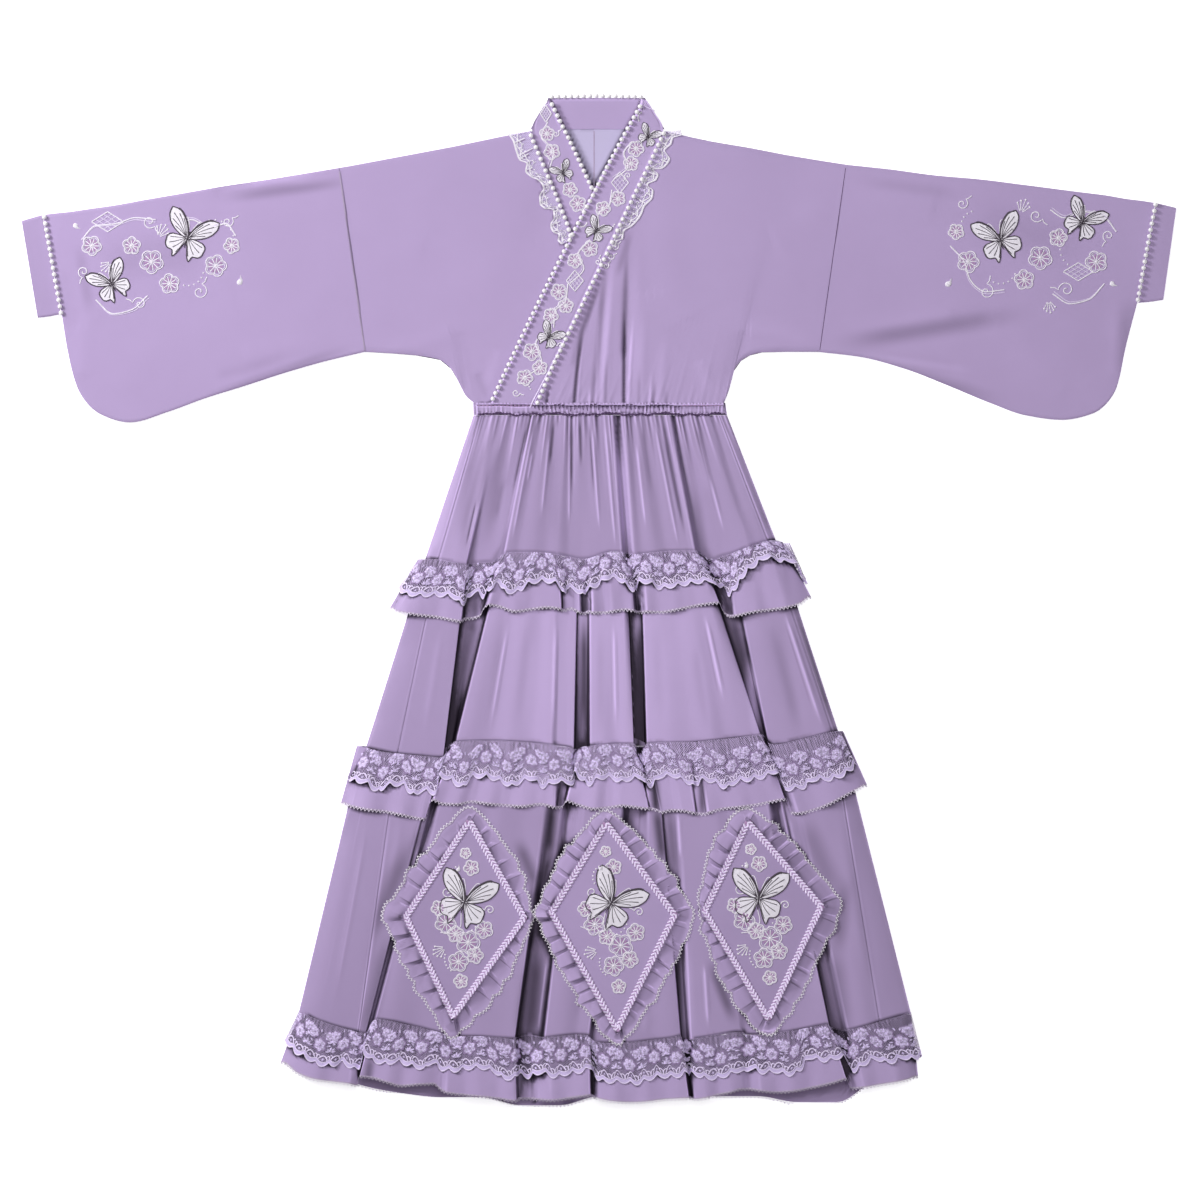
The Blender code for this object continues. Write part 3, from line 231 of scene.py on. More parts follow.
LACE_2 = [(361, 746, 347, 779, 0), (369, 748, 354, 780, 15), (378, 750.5, 366, 782, 20),
          (388, 752, 379, 791, 18), (397, 753, 390, 784, 21), (407, 754, 402, 784, 18),
          (418, 755, 414, 794, 21), (430, 756, 424, 790, 17), (440, 757, 435, 793, 19),
          (444, 756, 438, 787, 12), (449, 747, 438, 778, 14), (455, 741, 440, 775, 22),
          (463, 740.5, 450, 779, 19), (471, 740, 463, 786, 23), (480, 740, 473, 776, 19),
          (490, 740, 485, 776, 23), (500, 740, 497, 779, 19), (509, 740.5, 512, 785, 23),
          (520, 741, 523, 780, 20), (531, 742, 533, 778, 23), (542, 743, 543, 786, 20),
          (553, 744, 556, 781, 23), (563, 745.5, 568, 782, 22), (571, 747, 573, 784, 20),
          (575, 749, 575, 779, 13), (579, 748, 574, 771, 19), (585, 746.5, 580, 777, 22),
          (592, 745, 589, 784, 19), (600, 744, 599, 777, 23), (609, 743.5, 610, 777, 19),
          (618, 743, 621, 781, 23), (626, 743, 631, 778, 20), (633, 743, 640, 777, 23),
          (636, 744, 649, 786, 23), (639, 747, 652, 784, 12), (643, 747, 656, 780, 12),
          (647, 743, 660, 776, 20), (656, 742, 668, 775, 18), (665, 741.5, 679, 777, 22),
          (675, 741.5, 687, 782, 19), (685, 741.5, 694, 785, 22), (690, 741.5, 696, 783, 14),
          (695, 741.5, 698, 783, 15), (699, 741, 701, 779, 21), (708, 740, 713, 781, 18),
          (718, 739, 725, 787, 23), (729, 738, 737, 781, 19), (740, 736.5, 749, 779, 23),
          (751, 735, 760, 777, 20), (760, 734, 776, 771, 23), (764, 737, 782, 782, 14),
          (769, 743, 785, 789, 14), (775, 744, 792, 788, 20), (785, 742.5, 802, 787, 17),
          (796, 740, 814, 779, 21), (808, 737, 828, 779, 17), (820, 734, 841, 775, 20),
          (831, 731.5, 850, 769, 16), (842, 731, 857, 765, 0)]
LACE_3 = [(299, 1011, 284, 1042, 0), (309, 1015, 295, 1050, 14), (320, 1019, 307, 1056, 20),
          (331, 1023, 320, 1063, 17), (341, 1026, 332, 1064, 21), (350, 1028.5, 343, 1061, 17),
          (359, 1031, 354, 1067, 19), (365, 1032, 361, 1066, 14), (369, 1029, 362.5, 1058, 14),
          (376, 1017.5, 363, 1049.5, 22), (386, 1018.5, 374, 1059, 19), (396, 1020.5, 387, 1062, 22),
          (406, 1023, 398, 1060, 19), (416, 1025, 411, 1064, 22), (426, 1027.5, 425, 1067, 20),
          (432, 1029, 428, 1064, 15), (438, 1030.5, 433, 1061, 20), (447, 1033, 443, 1068, 19),
          (457, 1035, 455, 1069, 22), (468, 1035, 467, 1067, 19), (480, 1035, 480, 1066, 22),
          (492, 1035.5, 494, 1070, 20), (504, 1036.5, 506, 1077, 22), (513, 1037.5, 516, 1076, 22),
          (516, 1036, 518, 1072, 13), (526, 1034, 528, 1076, 13), (534, 1034.5, 535, 1073, 19),
          (543, 1036, 542, 1071, 22), (553, 1035, 555, 1075, 19), (564, 1034, 567, 1072, 22),
          (576, 1033, 580, 1070, 19), (587, 1033.5, 591, 1066, 22), (591, 1038, 593, 1070, 13),
          (598, 1041, 599, 1078, 19), (609, 1041.5, 610, 1080, 22), (621, 1041, 623, 1080, 19),
          (632, 1040.5, 635, 1082, 22), (644, 1039.5, 647, 1078, 19), (656, 1038, 660, 1075, 22),
          (668, 1036.5, 674, 1075, 20), (680, 1034, 687, 1071, 22), (682, 1037, 689, 1073, 13),
          (687, 1038, 692, 1072, 17), (697, 1036.5, 703, 1076, 21), (708, 1034.5, 714, 1077, 17),
          (720, 1032.5, 728, 1073, 21), (731, 1031, 740, 1069, 19), (741, 1031, 744, 1071, 14),
          (749, 1033.5, 751, 1067, 19), (760, 1033.5, 762, 1071, 21), (772, 1032, 775, 1070, 18),
          (784, 1030, 788, 1073, 21), (794, 1029, 799, 1069, 18), (804, 1027, 809, 1056, 21),
          (816, 1024.5, 824, 1059, 19), (827, 1022.5, 842, 1055, 22), (830, 1026, 848, 1064, 14),
          (842, 1029, 853, 1070, 14), (850, 1028, 862, 1064, 19), (862, 1025, 874, 1058, 16),
          (875, 1021.5, 889, 1061, 19), (888, 1018, 904, 1057, 15), (900, 1015, 914, 1058, 14),
          (911, 1012, 922, 1056, 0)]

# Depth of the back of each tier and ruffle: top y, hem y
BACK = {"tier_1": (416.2, 556), "tier_2": (557, 746), "tier_3": (747, 1034),
        "ruffle_1": (557.6, 613), "ruffle_2": (747.6, 806), "ruffle_3": (1035, 1096),
        "lace_1": (557.6, 590), "lace_2": (747.6, 782), "lace_3": (1035, 1068)}
# Places where the back hem hangs lower than the front hem: x from, x to, y
BACK_DIPS = [(398, 424, 1093), (438, 478, 1097), (508, 556, 1105), (768, 842, 1102)]

# Appliqued diamonds: top, right, bottom and left corners, then the frill's width at each corner
DIAMONDS = {
    "1": ((470, 817), (528, 917), (453, 1019), (403, 916), (13, 6, 16, 20)),
    "2": ((606, 819), (678, 914), (617, 1032), (548, 911), (12, 17, 13, 12)),
    "3": ((747, 818), (824, 905), (768, 1021), (701, 910), (13, 18, 15, 4)),
}
DIAMOND_FRILL = 19  # width of the frill along the middle of a side

# Creases of the bodice fronts: x0, y0, bend, x1, y1, width, height. Each is pressed into the cloth and also
# painted on it: a painted highlight along a ridge, painted shade along a trough.
CREASES_OVER = [(586, 318, 2, 573.2, 425, 1.5, -3.6), (600, 282, 2, 575, 372, 4.0, -1.6),
                (625, 300, 0, 623.8, 425, 1.4, -3.8), (627, 262, 0, 624, 360, 3.6, -1.3),
                (549, 380, 0, 545, 425, 1.4, -2.2), (656, 378, 0, 651, 425, 1.4, -0.8),
                (596, 362, 0, 592, 425, 1.6, -0.6), (608, 350, 1, 606, 425, 1.8, -0.7),
                (640, 366, 0, 638, 425, 2.0, -0.5), (667, 386, 1, 668, 425, 2.0, -0.5),
                (583, 329, 1, 577, 425, 1.6, 1.0), (601, 300, 1, 595, 425, 1.8, 0.8),
                (634, 310, 1, 628, 425, 1.7, 1.0), (590, 384, 0, 589, 425, 1.2, 0.9),
                (652, 372, 0, 648, 425, 1.2, 0.9), (612, 280, 2, 604, 425, 5.0, 1.2),
                (645, 300, 1, 640, 425, 5.0, 0.9), (668, 330, 2, 659, 425, 5.0, 0.9),
                (640, 150, 10, 655, 300, 16, -1.2), (668, 170, 14, 690, 330, 20, 0.8),
                (828, 352, 6, 745, 330, 8, 0.9), (800, 348, 4, 735, 385, 7, -0.9),
                (838, 190, -6, 770, 240, 16, 0.7), (715, 402, 0, 700, 360, 7, 0.8),
                (722, 398, 0, 745, 330, 9, -0.8)]
CREASES_UNDER = [(372, 350, 5, 455, 330, 9, 0.8), (400, 352, 4, 470, 392, 7, -0.9),
                 (345, 190, 8, 430, 250, 16, 0.7), (480, 398, 3, 500, 350, 6, 0.8),
                 (474, 392, -3, 462, 330, 8, -0.8), (488, 401, 0, 478, 372, 4, -0.8),
                 (534, 150, -8, 536, 250, 14, -0.7), (500, 180, -12, 480, 300, 22, 0.6)]
# Creases of the sleeves, pressed in and painted the same way
CREASES_SLEEVE_L = [(330, 200, 5, 210, 192, 9, -1.5), (336, 186, 3, 250, 186, 6, 0.9),
                    (345, 330, -8, 240, 352, 14, 0.9), (318, 300, 8, 230, 300, 20, -0.5),
                    (300, 350, -4, 215, 378, 6, -0.7), (96, 300, 6, 84, 380, 9, 0.8),
                    (70, 260, 4, 76, 330, 8, -0.6), (180, 330, 10, 120, 396, 14, 0.5)]
CREASES_SLEEVE_R = [(835, 342, 6, 1000, 318, 10, -1.4), (832, 328, 6, 960, 312, 9, 0.9),
                    (850, 200, -6, 940, 206, 14, 0.7), (870, 352, 4, 960, 370, 7, -0.7),
                    (1110, 300, -6, 1116, 380, 9, 0.8), (1010, 300, 10, 1070, 396, 16, 0.5)]
# Long soft folds of the tiers besides their fold lines: the same columns. Each is also painted: a painted
# highlight along a ridge, painted shade along a trough.
CREASES_1 = [(524, 418, 2, 503, 552, 1.7, 1.3), (534, 422, 2, 509, 546, 1.4, 1.1),
             (527, 416, 3, 506, 500, 1.8, -0.9), (553, 430, 0, 537, 522, 1.6, 1.0),
             (533, 450, 0, 526, 484, 1.4, 0.9), (571, 440, 1, 566, 530, 1.3, 1.1),
             (573, 420, 1, 569, 500, 1.6, -0.9), (594.5, 426, 0, 596, 536, 1.5, 1.3),
             (591, 418, 0, 591, 500, 1.8, -0.8), (607, 420, 1, 612, 552, 1.6, 1.4),
             (636, 440, 0, 647, 532, 1.6, 1.1), (646, 420, -2, 690, 552, 1.6, 1.4),
             (662, 420, -3, 692, 540, 2.2, -1.6), (704, 418, -6, 727, 538, 1.6, 1.5),
             (699, 418, -3, 718, 500, 2.2, -1.2), (712, 440, -6, 760, 530, 6, -1.0),
             (485, 430, 4, 455, 545, 4, -0.9), (503, 476, 0, 496, 526, 4, -1.3),
             (476, 498, 0, 467, 550, 1.3, -1.1), (640, 418, 0, 655, 500, 3, -0.8),
             (582, 418, 0, 580, 470, 2, -0.9), (555, 418, 0, 548, 470, 2.2, -0.9)]
# Long soft folds of the lower tiers, in the same columns, also painted the same way
CREASES_2 = [(505, 620, 0, 491, 735, 2.0, 0.9), (556, 618, 0, 554, 735, 2.0, 0.8),
             (614, 616, 0, 615, 735, 1.8, 0.9), (702, 612, -4, 735, 705, 2.2, 1.6),
             (789, 608, -8, 831, 730, 2.0, 2.0), (770, 620, -4, 812, 735, 6, -1.2),
             (690, 640, 0, 712, 735, 5, -0.9), (440, 620, 0, 424, 740, 4, 0.7),
             (655, 620, 0, 664, 735, 6, -0.7), (530, 620, 0, 520, 735, 6, -0.7)]
CREASES_3 = [(362, 810, -2, 344, 1020, 3.0, 1.1), (385, 830, 0, 372, 1010, 5, -0.9),
             (520, 960, 0, 524, 1040, 4, -1.2), (542, 955, 0, 541, 1040, 1.6, 1.4),
             (695, 960, 0, 718, 1030, 2.0, 1.2), (678, 810, 0, 680, 860, 2.0, 1.2),
             (780, 812, 3, 800, 860, 3.0, 0.9), (838, 800, -4, 872, 1000, 6, 0.8),
             (856, 840, -4, 884, 1010, 5, -0.8), (400, 812, 0, 392, 880, 5, 0.7),
             (585, 940, 0, 575, 1030, 4, -0.8), (640, 990, 0, 648, 1040, 4, 0.6)]
# The wavy free edge of each collar frill from the neck down, and the line that it is sewn to
FRILLS = {
    "under": ([(508, 134), (513, 141), (516, 151), (520, 160.5), (527, 164), (525.5, 171), (531, 177),
               (539, 181), (543.5, 189), (539.5, 196), (540, 204), (546, 209), (553, 210), (554, 218),
               (550.5, 225), (553, 232), (559, 235), (558, 240), (562, 245)], [(530.4, 131.5), (571, 240)]),
    "over": ([(680.5, 130), (681.5, 135), (672.5, 138.5), (671, 144), (664.5, 151), (669.5, 159),
              (661, 169), (652.5, 170), (658, 175), (656, 180), (647.5, 185), (653, 191.5), (652, 198),
              (644, 207), (641, 215), (632, 226), (623.5, 232), (622.5, 239), (616.5, 242), (615.5, 248)],
             [(664.8, 131.5), (607, 254)])}
# Painted light and shade across some pieces: how light each lies at the dress's left, in its middle and at
# its right (above 1 adds a painted highlight)
PAINTED_LIGHTNESS = {"tier_1": (1.03, 0.86, 0.9), "tier_2": (0.87, 1.14, 0.92), "tier_3": (0.84, 0.88, 0.92),
         "diamond": (0.84, 0.95, 0.86), "cuff": (0.92, 0.85, 0.96), "ruffle_2": (1.0, 1.12, 1.0),
         "ruffle_3": (1.0, 1.05, 1.0), "lace_2": (1.1, 1.4, 1.1), "lace_3": (0.84, 0.84, 0.84)}
# Painted soft shadows and painted lighter places between folds: x0, y0, x1, y1, half width, how light (1 is
# plain cloth)
SHADOWS = {
    "sleeve_right": [(822, 347, 1040, 311, 14, 0.72), (850, 353, 980, 372, 6, 1.12),
                     (846, 356, 1010, 404, 12, 0.76), (1126, 290, 1118, 390, 12, 0.86),
                     (960, 215, 1090, 250, 34, 0.88), (850, 180, 970, 196, 10, 0.9)],
    "sleeve_left": [(214, 200, 362, 180, 9, 0.74), (90, 262, 220, 252, 30, 0.88),
                    (78, 240, 92, 320, 9, 0.85), (190, 404, 360, 344, 8, 0.8),
                    (214, 192, 330, 172, 4, 1.12)],
    "bodice_front_over": [(607, 245, 590, 430, 5, 0.6), (627, 215, 623, 430, 4, 0.62),
                          (614, 235, 599, 430, 5, 1.2), (636, 220, 632, 430, 8, 1.1),
                          (582, 316, 573, 430, 4, 0.5), (603, 274, 580, 340, 4, 0.6),
                          (632, 228, 616, 280, 6, 0.72)],
    "tier_1_front": [(700, 430, 708, 500, 9, 1.12), (475, 430, 460, 560, 12, 0.84),
                     (508, 420, 484, 560, 12, 0.76), (666, 410, 686, 560, 8, 1.0),
                     (735, 420, 772, 550, 11, 0.84), (556, 418, 552, 556, 10, 0.88),
                     (617, 425, 628, 570, 9, 1.4), (693, 480, 706, 575, 9, 0.8),
                     (640, 440, 660, 560, 9, 0.93)],
    "tier_2_front": [(727, 600, 752, 690, 11, 0.14), (478, 600, 458, 700, 11, 0.35),
                     (584, 600, 584, 750, 7, 0.1), (639, 600, 640, 750, 6, 0.04),
                     (748, 650, 758, 750, 9, 1.2), (505, 610, 488, 745, 9, 0.86),
                     (600, 615, 600, 745, 7, 0.9), (775, 615, 800, 745, 10, 0.88)],
    "tier_3_front": [(416, 830, 366, 950, 15, 0.5), (392, 920, 360, 1060, 14, 0.6),
                     (435, 800, 412, 862, 11, 0.5), (554, 790, 547, 868, 10, 0.06),
                     (541, 930, 528, 1060, 15, 0.24), (685, 930, 689, 1060, 9, 1.2),
                     (632, 796, 648, 850, 14, 0.95), (655, 796, 664, 872, 9, 0.2),
                     (668, 796, 676, 890, 8, 0.5), (830, 935, 844, 1050, 17, 0.62),
                     (844, 872, 836, 960, 13, 0.6), (776, 790, 794, 850, 13, 0.8),
                     (798, 808, 840, 905, 17, 0.68), (708, 955, 736, 1026, 9, 0.4),
                     (552, 845, 538, 905, 8, 0.1), (516, 835, 540, 895, 11, 0.45),
                     (533, 876, 533, 940, 7, 0.3), (345, 790, 322, 1030, 12, 0.88),
                     (874, 820, 908, 1030, 12, 0.9), (610, 1000, 590, 1050, 9, 0.8)],
    "ruffle_3": [(372, 1050, 366, 1095, 7, 0.5), (519, 1040, 518, 1110, 6, 0.35)],
    "ruffle_2": [(651, 756, 658, 828, 8, 0.04), (558, 756, 562, 828, 8, 0.25),
                 (700, 756, 703, 828, 6, 0.25)],
    "ruffle_1": [(585, 566, 585, 634, 7, 0.1), (634, 560, 636, 630, 5, 0.15), (726, 570, 730, 634, 8, 0.2),
                 (478, 570, 474, 636, 8, 0.4)]}
# The upper and lower wing of a worked butterfly, y up from its middle
WING_UP = [(0, 0.05), (0.14, 0.42), (0.4, 0.78), (0.72, 0.98), (0.98, 0.98), (1.02, 0.76), (0.92, 0.48),
           (0.7, 0.24), (0.42, 0.08), (0.18, 0.0)]
WING_LOW = [(0, -0.04), (0.3, 0.0), (0.6, -0.02), (0.8, -0.2), (0.78, -0.46), (0.62, -0.64),
            (0.44, -0.66), (0.34, -0.9), (0.22, -0.72), (0.12, -0.44), (0.04, -0.2)]
# Where each motif is worked: kind, x, y, then its own sizes
SLEEVE_WORK_L = [("butterfly", 188, 238, 25, 0.35), ("butterfly", 112, 284, 20, -0.5),
                 ("bloom", 152, 262, 12, 0.3), ("bloom", 132, 246, 9, 1.0), ("bloom", 170, 284, 10, 0.8),
                 ("bloom", 216, 266, 11, 0.0), ("bloom", 232, 246, 8, 0.5), ("bloom", 92, 246, 10, 0.2),
                 ("curl", 200, 292, 8, 0.6), ("curl", 150, 222, 7, 2.6), ("curl", 228, 222, 6, 1.2),
                 ("curl", 84, 272, 6, 3.6), ("curl", 140, 304, 7, 5.2), ("trellis", 108, 222, 32, 20),
                 ("drop", 240, 282, 7, 0.4), ("drop", 76, 226, 6, 2.4), ("rays", 158, 238, 15, -1.0),
                 ("rays", 112, 262, 13, 2.4), ("dots", 188, 270, 16, 0.2), ("dots", 214, 240, 20, -1.8),
                 ("dots", 128, 272, 15, 1.6),
                 ("scroll", 82, 240, (14, -14), (34, -16), (54, -22), (74, -20)),
                 ("scroll", 236, 236, (-10, -12), (-26, -8), (-44, -16), (-58, -10)),
                 ("scroll", 96, 300, (18, 14), (36, 10), (52, -4))]
SLEEVE_WORK_R = [("butterfly", 1000, 240, 24, -0.3), ("butterfly", 1082, 222, 20, 0.5),
                 ("bloom", 1040, 258, 12, 0.3), ("bloom", 1058, 238, 9, 1.2), ("bloom", 1024, 280, 10, 0.8),
                 ("bloom", 968, 262, 11, 0.1), ("bloom", 1096, 262, 11, 0.6), ("bloom", 956, 232, 8, 0.4),
                 ("curl", 986, 292, 8, 0.4), ("curl", 1036, 216, 7, 2.4), ("curl", 962, 204, 6, 1.0),
                 ("curl", 1108, 236, 6, 3.8), ("curl", 1066, 290, 8, 5.0), ("trellis", 1078, 272, 30, 18),
                 ("drop", 948, 284, 7, 0.8), ("drop", 1112, 284, 6, 2.2), ("rays", 1020, 214, 15, -1.2),
                 ("rays", 1048, 300, 13, 1.4), ("dots", 1000, 268, 16, 0.4), ("dots", 1078, 250, 18, 2.2),
                 ("dots", 976, 226, 15, 2.8), ("scroll", 950, 246, (14, 16), (20, 34), (36, 46), (54, 44)),
                 ("scroll", 1116, 232, (-14, -16), (-34, -20), (-52, -14), (-66, -22)),
                 ("scroll", 1104, 284, (-16, 16), (-34, 20), (-52, 10))]
# The same on a diamond, measured from its middle in shares of its half width and half height
DIAMOND_WORK = [("butterfly", 0.0, -0.2, 28, 0.3, 1.0), ("bloom", -0.34, 0.06, 9, 0.3),
                ("bloom", -0.12, 0.2, 7, 0.9), ("bloom", 0.14, 0.3, 10, 0.1),
                ("bloom", 0.44, 0.14, 7.5, 0.5), ("bloom", 0.3, 0.46, 7, 0.0),
                ("bloom", -0.02, 0.54, 8.5, 1.1), ("bloom", -0.5, -0.12, 6.5, 0.4),
                ("bloom", 0.06, 0.78, 6, 0.7), ("curl", -0.36, -0.32, 6, 2.0), ("curl", 0.52, -0.1, 5, 5.0),
                ("bloom", 0.08, -0.62, 6.5, 0.5), ("bloom", -0.06, -0.8, 4.6, 0.2),
                ("rays", -0.3, 0.36, 14, 2.6), ("dots", 0.0, 0.0, 15, 0.3), ("dots", -0.1, -0.5, 12, 2.6),
                ("drop", -0.18, -0.6, 5, 0.4), ("dots", 0.0, 0.5, 15, 2.2, 1.2)]
# Worked on the crossed collar, each motif placed on the band itself
COLLAR_WORK = [("butterfly", 648, 137, 10.9, 0.5), ("bloom", 636, 149, 8.1, 0.2),
               ("bloom", 631, 164, 7.5, 0.9), ("trellis", 620, 183, 17, 21), ("bloom", 618, 199, 7.5, 0.5),
               ("bloom", 603, 209, 7.5, 0.1), ("butterfly", 596, 231, 12.1, 0.6),
               ("bloom", 590, 249, 8.1, 0.7), ("bloom", 575, 261, 7.5, 0.2), ("trellis", 575, 281, 17, 21),
               ("bloom", 559, 292, 8.1, 0.4), ("bloom", 566, 306, 7.5, 1.0), ("bloom", 551, 316, 7.5, 0.2),
               ("butterfly", 549, 337, 12.6, 0.6), ("bloom", 532, 352, 8.8, 0.3),
               ("bloom", 540, 368, 7.5, 0.8), ("bloom", 525, 378, 8.1, 0.1), ("curl", 516, 393, 4, 2.0),
               ("curl", 598, 262, 3.5, 0.5), ("curl", 561, 346, 3.5, 5.0), ("curl", 628, 176, 3.5, 4.0),
               ("curl", 615, 247, 3.8, 1.0), ("curl", 611, 257, 3.4, 1.2), ("curl", 606, 266, 3.2, 0.9),
               ("dots", 644, 118, 6, 2.6), ("dots", 608, 222, 7, 0.4), ("dots", 552, 302, 7, 0.2),
               ("dots", 522, 392, 9, 4.4), ("butterfly", 563, 173, 10.9, -0.5),
               ("bloom", 552, 152, 8.1, 0.4), ("bloom", 547, 134, 7.5, 0.9), ("bloom", 570, 190, 7.5, 0.1),
               ("bloom", 578, 204, 8.1, 0.7), ("curl", 556, 134, 3.5, 1.0), ("dots", 582, 222, 5, 0.3),
               ("trellis", 546, 114, 11, 17), ("scroll", 632, 142, (-8, 12), (-4, 24), (-18, 38)),
               ("scroll", 612, 190, (-2, 14), (-14, 26), (-12, 44)),
               ("scroll", 590, 240, (-12, 16), (-6, 28), (-20, 44)),
               ("scroll", 568, 284, (-2, 16), (-14, 30), (-14, 44)),
               ("scroll", 548, 330, (-12, 14), (-6, 32), (-26, 50)),
               ("scroll", 548, 122, (-6, 14), (6, 30), (2, 46))]
# Rows of pearls along the collar and the sleeve ends
PEARL_LINES = [[(552, 105), (559, 119.5), (569, 139.5), (581, 165), (591.5, 188)],
               [(640, 107), (632.5, 120.5), (621.5, 140.5), (608, 166), (594, 194), (578.5, 223),
                (560, 260), (541, 298), (523, 335), (505, 373), (493, 399)],
               [(531, 136), (541, 160), (555, 193), (566.5, 222), (570.5, 236)],
               [(663.5, 134), (653, 157), (638.6, 187), (623, 219), (605, 258), (587.5, 294),
                (570, 331), (553, 366), (537.5, 403)],
               [(552, 96.8), (596, 95.8), (641, 96.8)],
               [(44.7, 217.5), (53, 265), (61.5, 313)], [(1155, 205), (1146, 252), (1137.5, 300)]]


def world(grid):
    """Drafting points with heights in millimetres, as metres."""
    return (np.asarray(grid, float) - (MID_X, MID_Y, 0)) * (UNIT, -UNIT, MM)


def soft(t):
    """Smooth step from 0 to 1."""
    t = np.clip(t, 0.0, 1.0)
    return t * t * (3 - 2 * t)


def eased(n):
    """Shares from 0 to 1 that crowd toward both ends."""
    return 0.5 - 0.5 * np.cos(math.pi * np.linspace(0, 1, n))


def rounded(d, reach):
    """Profile of a rolled edge: 0 at the edge, 1 from reach millimetres in."""
    return np.sqrt(np.maximum(0, 1 - (1 - np.clip(d / reach, 0, 1)) ** 2))


def bell(gap):
    """A smooth hump: 1 where the gap is 0."""
    return np.exp(-gap ** 2)


def unit(vectors):
    """The same vectors with a length of 1."""
    return vectors / np.maximum(np.linalg.norm(vectors, axis=-1), 1e-9)[..., None]


def sideways(path):
    """A vector of length 1 to the side of a path, at each of its points."""
    ahead = unit(np.gradient(np.asarray(path, float), axis=0))
    return np.stack([-ahead[:, 1], ahead[:, 0]], axis=1)


def chord(points):
    """Length run up to each point."""
    steps = np.linalg.norm(np.diff(points, axis=0), axis=1)
    return np.concatenate([[0.0], np.cumsum(np.maximum(steps, 1e-6))])


def curve(t, values, spots):
    """A curve through the values at t that never overshoots, read at the spots."""
    values = np.asarray(values, float)
    h = np.diff(t)[:, None]
    d = np.diff(values, axis=0) / h
    slope = np.zeros_like(values)
    a, b = d[:-1], d[1:]
    same = a * b > 0
    w1, w2 = 2 * h[1:] + h[:-1], h[1:] + 2 * h[:-1]
    mean = (w1 + w2) / (w1 / np.where(same, a, 1) + w2 / np.where(same, b, 1))
    slope[1:-1] = np.where(same, mean, 0)
    slope[0], slope[-1] = d[0], d[-1]
    i = np.clip(np.searchsorted(t, spots, side="right") - 1, 0, len(t) - 2)
    s = ((spots - t[i]) / (t[i + 1] - t[i]))[:, None]
    return ((2 * s ** 3 - 3 * s ** 2 + 1) * values[i] + (s ** 3 - 2 * s ** 2 + s) * h[i] * slope[i]
            + (3 * s ** 2 - 2 * s ** 3) * values[i + 1] + (s ** 3 - s ** 2) * h[i] * slope[i + 1])


def between(t, step, coarse_from=math.inf):
    """Spots along t and the index of every knot, four times as far apart past coarse_from."""
    spots, marks = [], []
    for k, (lo, hi) in enumerate(zip(t[:-1], t[1:])):
        least, pace = (1, 4 * step) if k >= coarse_from else (2, step)
        n = max(least, int(round((hi - lo) / pace)))
        marks.append(len(spots))
        spots += list(lo + (hi - lo) * np.arange(n) / n)
    return np.array(spots + [t[-1]]), marks + [len(spots)]


def along(line, shares):
    """Points at the given shares of a polyline's length."""
    line = np.asarray(line, float)
    run = chord(line[:, :2])
    return np.stack([np.interp(np.asarray(shares) * run[-1], run, column) for column in line.T], axis=1)


def smooth_path(points, n=20, closed=False):
    """A smooth line of n points through the given ones."""
    points = np.asarray(points, float)
    if closed:
        points = np.concatenate([points, points[:1]])
    run = chord(points)
    return curve(run, points, np.linspace(0, run[-1], n))


def strip(lines, f):
    """A flat grid from each line's first x, y to its second, at the shares f of the way."""
    grid = np.zeros((len(lines), len(f), 3))
    f = f[:, None]
    grid[..., :2] = lines[:, None, :2] * (1 - f) + lines[:, None, 2:4] * f
    return grid


def stations(table, step):
    """A table's rows read at even steps along its middle, their shares of its length and widths in mm."""
    table = np.asarray(table, float)
    run = chord((table[:, :2] + table[:, 2:4]) / 2)
    spots, _ = between(run, step)
    lines = curve(run, table, spots)
    wide = np.hypot(lines[:, 2] - lines[:, 0], lines[:, 3] - lines[:, 1])[:, None] / MM_UNITS
    return lines, spots / run[-1], wide


class Relief:
    """Heights of all that is laid down so far, on a grid of CELL drafting units."""

    CELL, TOP, SHAPE = 0.5, 80, (2100, 2400)

    def __init__(self):
        self.high = np.zeros(self.SHAPE, np.float32)
        self.wide = {}

    def index(self, x, y):
        """Row and column of the cell at each spot."""
        cols = np.clip((np.asarray(x) / self.CELL).astype(int), 0, self.SHAPE[1] - 1)
        rows = np.clip(((np.asarray(y) - self.TOP) / self.CELL).astype(int), 0, self.SHAPE[0] - 1)
        return rows, cols

    def add(self, grid):
        """Lays a grid of drafting points down."""
        fine = grid
        for axis in (0, 1):
            step = np.abs(np.diff(fine[..., :2], axis=axis)).max()
            n = int(min(12, max(1, math.ceil(step / self.CELL))))
            size = fine.shape[axis]
            spots = np.linspace(0, size - 1, (size - 1) * n + 1)
            lo = np.minimum(spots.astype(int), size - 2)
            f = (spots - lo).reshape((-1, 1, 1) if axis == 0 else (1, -1, 1))
            fine = np.take(fine, lo, axis) * (1 - f) + np.take(fine, lo + 1, axis) * f
        rows, cols = self.index(fine[..., 0], fine[..., 1])
        np.maximum.at(self.high, (rows.ravel(), cols.ravel()), fine[..., 2].ravel().astype(np.float32))
        self.wide = {}

    def top(self, x, y, reach=2):
        """Highest point within reach cells of each spot."""
        if reach not in self.wide:
            high = self.high
            for axis in (0, 1):
                high = np.maximum.reduce([np.roll(high, k, axis) for k in range(-reach, reach + 1)])
            self.wide[reach] = high
        return self.wide[reach][self.index(x, y)]


def lay(grid, relief, clear=CLEAR):
    """Lifts a grid until it lies on what is below it, and evens out the lift."""
    lift = np.maximum(0, relief.top(grid[..., 0], grid[..., 1]) + clear - grid[..., 2])
    full = lift
    for _ in range(3):
        pad = np.pad(full, 1, mode="edge")
        full = np.maximum(lift, (pad[:-2, 1:-1] + pad[2:, 1:-1] + pad[1:-1, :-2] + pad[1:-1, 2:]) / 4)
    grid[..., 2] += full


